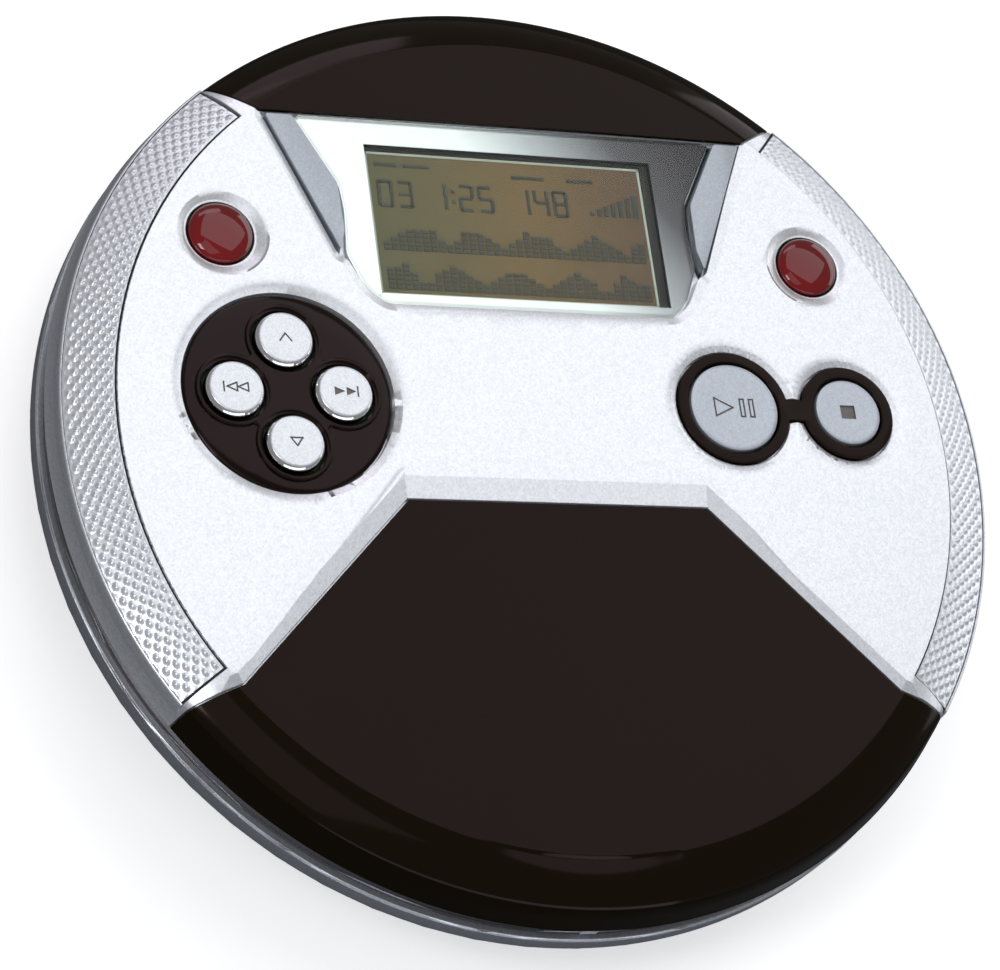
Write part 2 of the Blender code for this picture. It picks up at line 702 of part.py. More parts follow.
def bridge_outline(amount):
    # two rings joined by a bridge, seen from above
    first_r = PLAY_RING_R + amount
    second_r = STOP_RING_R + amount
    half_w = BRIDGE_HALF_W + amount
    first = math.degrees(math.asin(half_w / first_r))
    second = math.degrees(math.asin(half_w / second_r))
    points = arc(PLAY_X, PLAY_Y, first_r, first, HALF_TURN * 2 - first, HOLE_STEPS)
    return points + arc(STOP_X, STOP_Y, second_r, second - HALF_TURN, HALF_TURN - second, HOLE_STEPS)


def clover_outline():
    points = []
    for degrees in (0.0, 90.0, 180.0, 270.0):
        dx, dy = polar(DPAD_KEY_OFFSET, degrees)
        ends = (degrees - COLLAR_LOBE_DEG, degrees + COLLAR_LOBE_DEG)
        points += arc(DPAD_X + dx, DPAD_Y + dy, COLLAR_R, *ends, PIN_STEPS)
    return points


def grip_profile(depth, outer_r, lift):
    # section of a strip laid on the slope between crest and shoulder
    fall = (SHOULDER_DROP - DOME_DROP) / (SHOULDER_R - CREST_R)
    crest_z = LID_TOP_Z - DOME_DROP

    def slope_z(radius):
        return crest_z - (radius - CREST_R) * fall

    sunk = depth * math.hypot(1.0, fall)
    line = [(GRIP_INNER_R, slope_z(GRIP_INNER_R) - sunk)]
    line += [(outer_r, slope_z(outer_r) - sunk), (SHOULDER_R, slope_z(SHOULDER_R) + lift)]
    return line + [(GRIP_INNER_R, slope_z(GRIP_INNER_R) + lift)]


def screw_spots():
    return [(side * x, y) for x, y in zip(CASE_SCREW_XS, CASE_SCREW_YS) for side in (1, -1)]


def foot_spots():
    right = [polar(FOOT_RING_R, FOOT_REAR_DEG), polar(FOOT_RING_R, FOOT_FRONT_DEG)]
    return [(side * x, y) for x, y in right for side in (1, -1)]


def door_outline(amount):
    front = DOOR_CHAMFER / 4
    half = [(DOOR_HALF_X - DOOR_CHAMFER, DOOR_REAR_Y), (DOOR_HALF_X, DOOR_REAR_Y - DOOR_CHAMFER)]
    half += [(DOOR_HALF_X, DOOR_FRONT_Y + front), (DOOR_HALF_X - front, DOOR_FRONT_Y)]
    return grown(mirrored(half), amount)


# Base


def base_skin():
    line = [(0.0, BASE_BOTTOM_Z), (SOLE_R, BASE_BOTTOM_Z), (HEEL_R, HEEL_Z)]
    return line + [(SLOPE_R, SLOPE_Z), (BODY_R, RIM_UNDER_Z), (BODY_R, BASE_TOP_Z)]


def base_room():
    rise = WALL * INNER_RISE_SHARE
    line = [(0.0, FLOOR_TOP_Z), (SOLE_R - WALL, FLOOR_TOP_Z)]
    line += [(radius - WALL, height + rise) for radius, height in base_skin()[2:5]]
    top = BASE_TOP_Z + OVERSHOOT
    return line + [(BODY_R - WALL, top), (0.0, top)]


def bay_section(end_x):
    # section of the battery bay across both cells, swept along X
    radius = CELL_R + GAP
    overlap = math.degrees(math.acos(CELL_PITCH / 2 / radius))
    front = arc(CELL_FRONT_Y, CELL_Z, radius, HALF_TURN, HALF_TURN * 2 - overlap, PIN_STEPS)
    rear_y = CELL_FRONT_Y + CELL_PITCH
    rear = arc(rear_y, CELL_Z, radius, HALF_TURN + overlap, HALF_TURN * 2, PIN_STEPS)
    top = BASE_TOP_Z + OVERSHOOT * 2
    line = front + rear[1:] + [(rear_y + radius, top), (CELL_FRONT_Y - radius, top)]
    return [(end_x, y, z) for y, z in line]


def base_shell(coat):
    bm = bmesh.new()
    lathe(bm, base_skin() + [(0.0, BASE_TOP_Z)], RING_STEPS)
    shell = solid("base_shell", bm, coat)

    # the room inside, less what stands up in it
    bm = bmesh.new()
    lathe(bm, base_room(), RING_STEPS)
    room = tool("base_room", bm)
    bm = bmesh.new()
    under = FLOOR_TOP_Z - OVERSHOOT
    for x, y in screw_spots():
        post(bm, x, y, BOSS_R, under, BOSS_TOP_Z)
    for x, y in zip(BUSH_XS, BUSH_YS):
        post(bm, x, y, POST_R, under, CHASSIS_UNDER_Z - BUSH_H - GAP * 2, PIN_STEPS)
    for x, y in zip(STANDOFF_XS, STANDOFF_YS):
        post(bm, x, y, STANDOFF_R, under, FLOOR_TOP_Z + BOARD_LIFT, PIN_STEPS)
    radius = CELL_R + GAP
    half_x = CELL_L / 2 + BAY_END_PLAY + BAY_WALL_X
    front = CELL_FRONT_Y - radius - BAY_WALL_Y
    rear = CELL_FRONT_Y + CELL_PITCH + radius + BAY_WALL_Y
    block(bm, -half_x, half_x, front, rear, under, DECK_UNDER_Z - GAP)
    cut(room, "base_inner_walls", bm)
    combine(shell, room, "DIFFERENCE")

    bm = bmesh.new()
    for side in (1, -1):
        knuckle(bm, side * (LID_KNUCKLE_OUT_X + GAP), side * BASE_KNUCKLE_OUT_X, BASE_ARM_BOTTOM_Z)
    join(shell, "base_knuckles", bm)

    bm = bmesh.new()
    end = CELL_L / 2 + BAY_END_PLAY
    loft(bm, bay_section(-end), bay_section(end))
    cut(shell, "battery_bay", bm)
    bm = bmesh.new()
    door_top = CELL_Z - CELL_R - GAP
    prism(bm, door_outline(GAP), BASE_BOTTOM_Z - OVERSHOOT, door_top + GAP)
    cut(shell, "door_opening", bm)
    bm = bmesh.new()
    prism(bm, door_outline(-DOOR_LEDGE), BASE_BOTTOM_Z, CELL_Z - CELL_R / 2)
    cut(shell, "bay_mouth", bm)

    bm = bmesh.new()
    for x, y in screw_spots():
        sink = BASE_BOTTOM_Z + SCREW_SINK + SCREW_HEAD_H + GAP
        place = Matrix.Translation((x, y, 0.0))
        head_r = SCREW_HEAD_R + GAP
        bore_r = SCREW_SHANK_R + PIN_PLAY
        low = BASE_BOTTOM_Z - OVERSHOOT
        high = BOSS_TOP_Z + OVERSHOOT
        line = [(0.0, low), (head_r, low), (head_r, sink), (bore_r, sink), (bore_r, high)]
        lathe(bm, line + [(0.0, high)], HOLE_STEPS, place)
    for x, y in foot_spots():
        post(bm, x, y, FOOT_R + GAP, BASE_BOTTOM_Z - OVERSHOOT, BASE_BOTTOM_Z + FOOT_SEAT)
    for degrees in SOCKET_DEGS:
        far = BODY_R + OVERSHOOT
        near = SOCKET_BODY_R + GAP
        hole_r = SOCKET_NOSE_R + GAP
        line = [(0.0, near), (hole_r, near), (hole_r, far), (0.0, far)]
        lathe(bm, line, HOLE_STEPS, outward_bore(degrees, SOCKET_Z))
    cut(shell, "base_holes", bm)
    bm = bmesh.new()
    hinge_bore(bm)
    cut(shell, "base_hinge_bore", bm)
    return shell


def knuckle(bm, x0, x1, arm_end_z):
    # barrel with the arm that runs up or down from it, as one section swept along X
    way = 1.0 if arm_end_z > HINGE_Z else -1.0
    first = math.degrees(math.acos((KNUCKLE_ARM_REAR_Y - HINGE_Y) / KNUCKLE_R))
    last = math.degrees(math.acos((KNUCKLE_ARM_FRONT_Y - HINGE_Y) / KNUCKLE_R)) - HALF_TURN * 2
    section = arc(HINGE_Y, 0.0, KNUCKLE_R, first, last, HOLE_STEPS)
    section = [(y, HINGE_Z + way * z) for y, z in section]
    section += [(KNUCKLE_ARM_FRONT_Y, arm_end_z), (KNUCKLE_ARM_REAR_Y, arm_end_z)]
    loft(bm, [(x0, y, z) for y, z in section], [(x1, y, z) for y, z in section])


def hinge_bore(bm):
    far = BASE_KNUCKLE_OUT_X + OVERSHOOT
    radius = HINGE_PIN_R + PIN_PLAY
    line = [(0.0, -far), (radius, -far), (radius, far), (0.0, far)]
    lathe(bm, line, PIN_STEPS, along_x(0.0, HINGE_Y, HINGE_Z))


def battery_door(coat):
    bm = bmesh.new()
    door_top = CELL_Z - CELL_R - GAP
    prism(bm, door_outline(0.0), BASE_BOTTOM_Z, door_top)
    hinge_z = (BASE_BOTTOM_Z + door_top) / 2
    return solid("battery_door", bm, coat, (0.0, DOOR_FRONT_Y + GAP, hinge_z))


def cell(name, y, side, coat):
    bm = bmesh.new()
    half = CELL_L / 2
    shoulder = half - NUB_H
    line = [(0.0, -half), (CELL_R, -half), (CELL_R, shoulder)]
    line += [(NUB_R, shoulder), (NUB_R, half), (0.0, half)]
    place = Matrix.Translation((0.0, y, CELL_Z)) @ Matrix.Rotation(side * math.pi / 2, 4, "Y")
    lathe(bm, line, HOLE_STEPS, place)
    return solid(name, bm, coat)


def contact(name, side, ys, coat):
    # plate in the end of the bay with a cone for each cell
    bm = bmesh.new()
    tip = CELL_L / 2 + GAP
    plate_in = CELL_L / 2 + BAY_END_PLAY - CONTACT_T - GAP
    xs = sorted((side * plate_in, side * (plate_in + CONTACT_T)))
    half_w = CONTACT_HALF_W
    low = CELL_Z - CONTACT_DROP
    block(bm, *xs, ys[0] - half_w, ys[-1] + half_w, low, CELL_Z + half_w)
    made = solid(name, bm, coat)
    bm = bmesh.new()
    for y in ys:
        place = Matrix.Translation((0.0, y, CELL_Z)) @ Matrix.Rotation(side * math.pi / 2, 4, "Y")
        root = plate_in + CONTACT_T / 2
        line = [(0.0, root), (CONTACT_BASE_R, root), (CONTACT_TIP_R, tip), (0.0, tip)]
        lathe(bm, line, PIN_STEPS, place)
    join(made, name + "_cones", bm)
    return made


def rubber_foot(name, x, y, coat):
    bm = bmesh.new()
    post(bm, x, y, FOOT_R, 0.0, BASE_BOTTOM_Z + FOOT_SEAT - GAP)
    return solid(name, bm, coat)


def case_screw(name, x, y, coat):
    bm = bmesh.new()
    seat = BASE_BOTTOM_Z + SCREW_SINK
    top = seat + SCREW_HEAD_H
    line = [(0.0, seat), (SCREW_HEAD_R, seat), (SCREW_HEAD_R, top), (SCREW_SHANK_R, top)]
    line += [(SCREW_SHANK_R, SCREW_TIP_Z), (0.0, SCREW_TIP_Z)]
    lathe(bm, line, HOLE_STEPS, Matrix.Translation((x, y, 0.0)))
    made = solid(name, bm, coat)
    bm = bmesh.new()
    arm = SCREW_HEAD_R / 2
    blade = SCREW_SHANK_R / 4
    depth = seat + SCREW_HEAD_H / 2
    block(bm, x - arm, x + arm, y - blade, y + blade, seat - OVERSHOOT, depth)
    cut(made, name + "_slot_a", bm)
    bm = bmesh.new()
    block(bm, x - blade, x + blade, y - arm, y + arm, seat - OVERSHOOT, depth)
    cut(made, name + "_slot_b", bm)
    return made


# Belt and deck


def mid_frame(coat):
    bm = bmesh.new()
    line = [(0.0, DECK_UNDER_Z), (BELT_INNER_R, DECK_UNDER_Z), (BELT_INNER_R, BELT_BOTTOM_Z)]
    line += [(BELT_R, BELT_BOTTOM_Z), (BELT_R, BELT_TOP_Z), (WELL_R, BELT_TOP_Z)]
    lathe(bm, line + [(WELL_R, DECK_TOP_Z), (0.0, DECK_TOP_Z)], RING_STEPS)
    frame = solid("mid_frame", bm, coat)

    bm = bmesh.new()
    for x, y in screw_spots():
        post(bm, x, y, STUD_R, BOSS_TOP_Z + GAP, DECK_UNDER_Z + DECK_T / 2)
    join(frame, "deck_studs", bm)

    # opening round the turntable with the slot for the lens
    slot = math.degrees(math.asin(LENS_SLOT_HALF_W / HUB_OPENING_R))
    round_part = arc(0.0, 0.0, HUB_OPENING_R, slot - HALF_TURN, HALF_TURN - slot, HOLE_STEPS)
    end_x = LENS_SLOT_END_X + LENS_SLOT_HALF_W
    round_end = arc(end_x, 0.0, LENS_SLOT_HALF_W, 90.0, 270.0, PIN_STEPS)
    bm = bmesh.new()
    prism(bm, round_part + round_end, DECK_UNDER_Z - OVERSHOOT, DECK_TOP_Z + OVERSHOOT)
    low = BELT_BOTTOM_Z - OVERSHOOT
    high = BELT_TOP_Z + OVERSHOOT
    half = HINGE_CUT_HALF_X
    block(bm, -half, half, HINGE_CUT_Y, BODY_R + OVERSHOOT, low, high)
    for x, y in screw_spots():
        bore_r = SCREW_SHANK_R + PIN_PLAY
        post(bm, x, y, bore_r, BOSS_TOP_Z, SCREW_TIP_Z + GAP, PIN_STEPS)
    x, y = polar(LID_PIN_RING_R, LID_PIN_DEG)
    post(bm, x, y, LID_PIN_R + GAP, low, high, PIN_STEPS)
    place = outward(HOLD_DEG, 0.0)
    room = HOLD_HALF_W + HOLD_TRAVEL / 2 + GAP
    pocket = (HOLD_INNER_R - GAP, BELT_R + OVERSHOOT, -room, room)
    block(bm, *pocket, low, HOLD_BOTTOM_Z + HOLD_H + GAP, place)
    block(bm, -HOOK_HALF_X - GAP, HOOK_HALF_X + GAP, *hook_room_ys(), low, high)
    cut(frame, "deck_openings", bm)

    # room in which the slider runs, and its slot in the belt
    bm = bmesh.new()
    left = -SLIDER_HALF_X - SLIDER_TRAVEL - GAP
    right = SLIDER_HALF_X + GAP
    top = SLIDER_BOTTOM_Z + SLIDER_H + GAP
    block(bm, left, right, SLIDER_FRONT_Y - GAP, HOOK_FRONT_Y - GAP, low, top)
    left = -FINGER_HALF_X - SLIDER_TRAVEL - GAP
    sweep = (left, FINGER_HALF_X + GAP, SLIDER_REAR_Y, FINGER_REAR_Y + GAP)
    cut(frame, "slider_room", bm)
    bm = bmesh.new()
    block(bm, *sweep, top - FINGER_T - GAP * 2, top + OVERSHOOT / 2)
    cut(frame, "finger_sweep", bm)
    bm = bmesh.new()
    left = -KNOB_HALF_X - SLIDER_TRAVEL - GAP
    right = KNOB_HALF_X + GAP
    rear = SLIDER_FRONT_Y
    slot_z = (KNOB_BOTTOM_Z - GAP, KNOB_BOTTOM_Z + KNOB_H + GAP)
    block(bm, left, right, -BELT_R - OVERSHOOT, rear, *slot_z)
    cut(frame, "slider_slot", bm)
    return frame


def hook_room_ys():
    return TOOTH_FRONT_Y - GAP, HOOK_REAR_Y + GAP


def open_slider(coat):
    bm = bmesh.new()
    top = SLIDER_BOTTOM_Z + SLIDER_H
    half = SLIDER_HALF_X
    block(bm, -half, half, SLIDER_FRONT_Y, SLIDER_REAR_Y, SLIDER_BOTTOM_Z, top)
    made = solid("open_slider", bm, coat)
    bm = bmesh.new()
    knob_ys = (KNOB_FRONT_Y, SLIDER_REAR_Y - GAP)
    block(bm, -KNOB_HALF_X, KNOB_HALF_X, *knob_ys, KNOB_BOTTOM_Z, KNOB_BOTTOM_Z + KNOB_H)
    join(made, "slider_knob", bm)
    bm = bmesh.new()
    finger_ys = (SLIDER_FRONT_Y + GAP, FINGER_REAR_Y)
    block(bm, -FINGER_HALF_X, FINGER_HALF_X, *finger_ys, top - FINGER_T, top)
    join(made, "slider_finger", bm)
    return made


def hold_switch(coat):
    bm = bmesh.new()
    shift = -HOLD_TRAVEL / 2
    ends = (shift - HOLD_HALF_W, shift + HOLD_HALF_W)
    sides = (HOLD_INNER_R, HOLD_OUTER_R)
    place = outward(HOLD_DEG, 0.0)
    block(bm, *sides, *ends, HOLD_BOTTOM_Z, HOLD_BOTTOM_Z + HOLD_H, place)
    return solid("hold_switch", bm, coat)


def lid_switch_pin(coat):
    bm = bmesh.new()
    x, y = polar(LID_PIN_RING_R, LID_PIN_DEG)
    top = BELT_TOP_Z + LID_PIN_PROUD
    post(bm, x, y, LID_PIN_R, top - LID_PIN_L, top, PIN_STEPS)
    return solid("lid_switch_pin", bm, coat)


# Disc mechanism


def mech_chassis(coat):
    bm = bmesh.new()
    half = list(zip(CHASSIS_XS, CHASSIS_YS))
    outline = half + [(x, -y) for x, y in reversed(half)]
    prism(bm, outline, CHASSIS_UNDER_Z, CHASSIS_TOP_Z)
    made = solid("mech_chassis", bm, coat)

    bm = bmesh.new()
    upper = CHASSIS_TOP_Z - CHASSIS_T / 2
    for side in (1, -1):
        ys = (side * ROD_Y - TAB_HALF_W, side * ROD_Y + TAB_HALF_W)
        out_end = SLED_BAY_OUT_X - GAP
        in_end = SLED_BAY_IN_X + GAP
        block(bm, out_end - TAB_T, out_end, *ys, TAB_BOTTOM_Z, upper)
        block(bm, in_end, in_end + TAB_T, *ys, TAB_BOTTOM_Z, upper)
    join(made, "rod_tabs", bm)
    bm = bmesh.new()
    ys = (SCREW_Y - TAB_HALF_W, SCREW_Y + TAB_HALF_W)
    block(bm, SCREW_TAB_OUT_X, SCREW_TAB_IN_X, *ys, SCREW_TAB_BOTTOM_Z, upper)
    join(made, "screw_tab", bm)

    bm = bmesh.new()
    inner = [(SLED_BAY_IN_X, SLED_BAY_HALF_Y), (SLED_BAY_OUT_X, SLED_BAY_HALF_Y)]
    inner += [(SLED_BAY_OUT_X, NOSE_BAY_HALF_Y), (SLED_BAY_END_X, NOSE_BAY_HALF_Y)]
    slot = inner + [(x, -y) for x, y in reversed(inner)]
    prism(bm, slot, CHASSIS_UNDER_Z - OVERSHOOT, CHASSIS_TOP_Z + OVERSHOOT)
    post(bm, 0.0, 0.0, CHASSIS_HOLE_R, CHASSIS_UNDER_Z - OVERSHOOT, CHASSIS_TOP_Z + OVERSHOOT)
    cut(made, "chassis_openings", bm)
    bm = bmesh.new()
    length = ROD_IN_X - ROD_OUT_X + OVERSHOOT * 2
    for side in (1, -1):
        place = along_x(ROD_OUT_X - OVERSHOOT, side * ROD_Y, ROD_Z)
        radius = ROD_R + PIN_PLAY
        line = [(0.0, 0.0), (radius, 0.0), (radius, length), (0.0, length)]
        lathe(bm, line, PIN_STEPS, place)
    place = along_x(SCREW_TAB_OUT_X - OVERSHOOT, SCREW_Y, SCREW_Z)
    radius = JOURNAL_R + PIN_PLAY
    length = SCREW_TAB_IN_X - SCREW_TAB_OUT_X + OVERSHOOT * 2
    line = [(0.0, 0.0), (radius, 0.0), (radius, length), (0.0, length)]
    lathe(bm, line, PIN_STEPS, place)
    cut(made, "chassis_bores", bm)
    return made


def damper_bush(name, x, y, coat):
    bm = bmesh.new()
    top = CHASSIS_UNDER_Z - GAP
    post(bm, x, y, BUSH_R, top - BUSH_H, top)
    return solid(name, bm, coat)


def spindle_motor(coat):
    bm = bmesh.new()
    top = CHASSIS_UNDER_Z - GAP
    boss = top + MOTOR_BOSS_H
    bore = SHAFT_R + PIN_PLAY
    low = SHAFT_BOTTOM_Z - GAP
    line = [(0.0, top - MOTOR_H), (MOTOR_R, top - MOTOR_H), (MOTOR_R, top)]
    line += [(MOTOR_BOSS_R, top), (MOTOR_BOSS_R, boss), (bore, boss), (bore, low), (0.0, low)]
    lathe(bm, line, HOLE_STEPS)
    return solid("spindle_motor", bm, coat)


def spindle_shaft(coat):
    bm = bmesh.new()
    post(bm, 0.0, 0.0, SHAFT_R, SHAFT_BOTTOM_Z, SHAFT_TOP_Z, PIN_STEPS)
    return solid("spindle_shaft", bm, coat)


def turntable_hub(coat):
    bm = bmesh.new()
    bore = SHAFT_R + PIN_PLAY
    straight = DISC_SEAT_Z + HUB_STRAIGHT_H
    tip = straight + HUB_TIP_H
    line = [(bore, HUB_BOTTOM_Z), (HUB_BOSS_R, HUB_BOTTOM_Z), (HUB_BOSS_R, DISC_SEAT_Z - TABLE_T)]
    line += [(TABLE_R, DISC_SEAT_Z - TABLE_T), (TABLE_R, DISC_SEAT_Z), (HUB_R, DISC_SEAT_Z)]
    lathe(bm, line + [(HUB_R, straight), (HUB_TIP_R, tip), (bore, tip)], HOLE_STEPS * 2)
    made = solid("turntable_hub", bm, coat)
    bm = bmesh.new()
    for degrees in (30.0, 150.0, 270.0):
        ends = (HUB_BOSS_R, HUB_R + CLAW_REACH, -CLAW_HALF_W, CLAW_HALF_W)
        block(bm, *ends, straight - CLAW_T, straight, outward(degrees, 0.0))
    join(made, "disc_claws", bm)
    return made


def guide_rod(name, side, coat):
    bm = bmesh.new()
    length = ROD_IN_X - ROD_OUT_X
    line = [(0.0, 0.0), (ROD_R, 0.0), (ROD_R, length), (0.0, length)]
    lathe(bm, line, PIN_STEPS, along_x(ROD_OUT_X, side * ROD_Y, ROD_Z))
    return solid(name, bm, coat)


def laser_sled(coat):
    bm = bmesh.new()
    half = [(SLED_IN_X, SLED_HALF_Y), (SLED_OUT_X, SLED_HALF_Y)]
    half += [(SLED_OUT_X, NOSE_HALF_Y), (NOSE_END_X, NOSE_HALF_Y)]
    outline = half + [(x, -y) for x, y in reversed(half)]
    prism(bm, outline, SLED_BOTTOM_Z, SLED_TOP_Z)
    made = solid("laser_sled", bm, coat)
    bm = bmesh.new()
    ys = (SCREW_Y - NUT_HALF_W, -SLED_HALF_Y + OVERSHOOT / 2)
    block(bm, NUT_OUT_X, NUT_IN_X, *ys, NUT_BOTTOM_Z, NUT_TOP_Z)
    join(made, "sled_nut", bm)
    bm = bmesh.new()
    length = SLED_IN_X - SLED_OUT_X + OVERSHOOT * 2
    for side in (1, -1):
        radius = ROD_R + PIN_PLAY
        line = [(0.0, 0.0), (radius, 0.0), (radius, length), (0.0, length)]
        lathe(bm, line, PIN_STEPS, along_x(SLED_OUT_X - OVERSHOOT, side * ROD_Y, ROD_Z))
    radius = SCREW_R + PIN_PLAY
    line = [(0.0, 0.0), (radius, 0.0), (radius, length), (0.0, length)]
    lathe(bm, line, PIN_STEPS, along_x(NUT_OUT_X - OVERSHOOT, SCREW_Y, SCREW_Z))
    cut(made, "sled_bores", bm)
    return made


def lens_holder(coat):
    bm = bmesh.new()
    xs = (LENS_X - HOLDER_HALF_X, LENS_X + HOLDER_HALF_X)
    block(bm, *xs, -HOLDER_HALF_Y, HOLDER_HALF_Y, HOLDER_Z, HOLDER_Z + HOLDER_T)
    made = solid("lens_holder", bm, coat)
    bm = bmesh.new()
    low = HOLDER_Z - OVERSHOOT
    post(bm, LENS_X, 0.0, LENS_R + PIN_PLAY, low, HOLDER_Z + HOLDER_T + OVERSHOOT)
    cut(made, "lens_hole", bm)
    return made


def objective_lens(coat):
    bm = bmesh.new()
    edge = HOLDER_Z + LENS_H - LENS_RISE
    line = [(0.0, HOLDER_Z), (LENS_R, HOLDER_Z), (LENS_R, edge)]
    line += [(LENS_R / 2, edge + LENS_RISE / 4 * 3), (0.0, edge + LENS_RISE)]
    lathe(bm, line, HOLE_STEPS, Matrix.Translation((LENS_X, 0.0, 0.0)))
    return solid("objective_lens", bm, coat)


def feed_motor(coat):
    bm = bmesh.new()
    length = FEED_MOTOR_IN_X - FEED_MOTOR_OUT_X
    depth = FEED_BORE_X - FEED_MOTOR_OUT_X
    bore = JOURNAL_R + PIN_PLAY
    line = [(bore, 0.0), (FEED_MOTOR_R, 0.0), (FEED_MOTOR_R, length), (0.0, length)]
    line += [(0.0, depth), (bore, depth)]
    lathe(bm, line, HOLE_STEPS, along_x(FEED_MOTOR_OUT_X, SCREW_Y, SCREW_Z))
    return solid("feed_motor", bm, coat)


def feed_screw(coat):
    # the thread is a core whose section bulges on one side and turns along the screw
    bm = bmesh.new()
    length = THREAD_IN_X - THREAD_OUT_X
    turns = length / SCREW_LEAD
    slices = math.ceil(turns * THREAD_STEPS * 3 / 4)
    rings = []
    place = along_x(THREAD_OUT_X, SCREW_Y, SCREW_Z)
    mean_r = (SCREW_R + SCREW_CORE_R) / 2
    swing = (SCREW_R - SCREW_CORE_R) / 2
    for index in range(slices + 1):
        share = index / slices
        ring = []
        for step in range(THREAD_STEPS):
            angle = math.tau * step / THREAD_STEPS
            radius = mean_r + swing * math.cos(angle - math.tau * turns * share)
            spot = Vector((radius * math.cos(angle), radius * math.sin(angle), length * share))
            ring.append(bm.verts.new(place @ spot))
        rings.append(ring)
    for lower, upper in zip(rings, rings[1:]):
        for step in range(THREAD_STEPS):
            ahead = (step + 1) % THREAD_STEPS
            bm.faces.new([lower[step], lower[ahead], upper[ahead], upper[step]])
    bm.faces.new(rings[0])
    bm.faces.new(rings[-1])
    made = solid("feed_screw", bm, coat, (THREAD_OUT_X, SCREW_Y, SCREW_Z))
    bm = bmesh.new()
    span = JOURNAL_IN_X - JOURNAL_OUT_X
    line = [(0.0, 0.0), (JOURNAL_R, 0.0), (JOURNAL_R, span), (0.0, span)]
    lathe(bm, line, PIN_STEPS, along_x(JOURNAL_OUT_X, SCREW_Y, SCREW_Z))
    join(made, "screw_journals", bm)
    return made


def main_board(coat):
    bm = bmesh.new()
    bottom = FLOOR_TOP_Z + BOARD_LIFT + GAP
    edge = math.degrees(math.asin(BOARD_REAR_Y / BOARD_R))
    outline = arc(0.0, 0.0, BOARD_R, -HALF_TURN - edge, edge, RING_STEPS // 2)
    prism(bm, outline, bottom, bottom + BOARD_T)
    made = solid("main_board", bm, coat)
    bm = bmesh.new()
    low = bottom - OVERSHOOT
    high = bottom + BOARD_T + OVERSHOOT
    for x, y in zip(BUSH_XS, BUSH_YS):
        post(bm, x, y, POST_R + GAP, low, high, PIN_STEPS)
    for x, y in screw_spots():
        if y < 0:
            post(bm, x, y, BOSS_R + GAP, low, high)
    cut(made, "board_holes", bm)
    return made


def socket(name, degrees, bore_r, pinned, coat):
    bm = bmesh.new()
    bottom = FLOOR_TOP_Z + BOARD_LIFT + BOARD_T + GAP * 2
    place = outward(degrees, 0.0)
    sides = (-SOCKET_HALF_W, SOCKET_HALF_W)
    block(bm, SOCKET_INNER_R, SOCKET_BODY_R, *sides, bottom, SOCKET_TOP_Z, place)
    made = solid(name, bm, coat)
    bm = bmesh.new()
    place = outward_bore(degrees, SOCKET_Z)
    root = SOCKET_BODY_R - OVERSHOOT
    nose_r = SOCKET_NOSE_R
    line = [(0.0, root), (nose_r, root), (nose_r, SOCKET_NOSE_END), (0.0, SOCKET_NOSE_END)]
    lathe(bm, line, HOLE_STEPS, place)
    join(made, name + "_nose", bm)
    bm = bmesh.new()
    far = SOCKET_NOSE_END + OVERSHOOT
    core = DC_PIN_R if pinned else 0.0
    tip = SOCKET_NOSE_END - OVERSHOOT
    line = [(0.0, SOCKET_BORE_END), (bore_r, SOCKET_BORE_END), (bore_r, far), (0.0, far)]
    if pinned:
        line = [(core, SOCKET_BORE_END)] + line[1:] + [(0.0, tip), (core, tip)]
    lathe(bm, line, HOLE_STEPS, place)
    cut(made, name + "_bore", bm)
    return made


# Lid


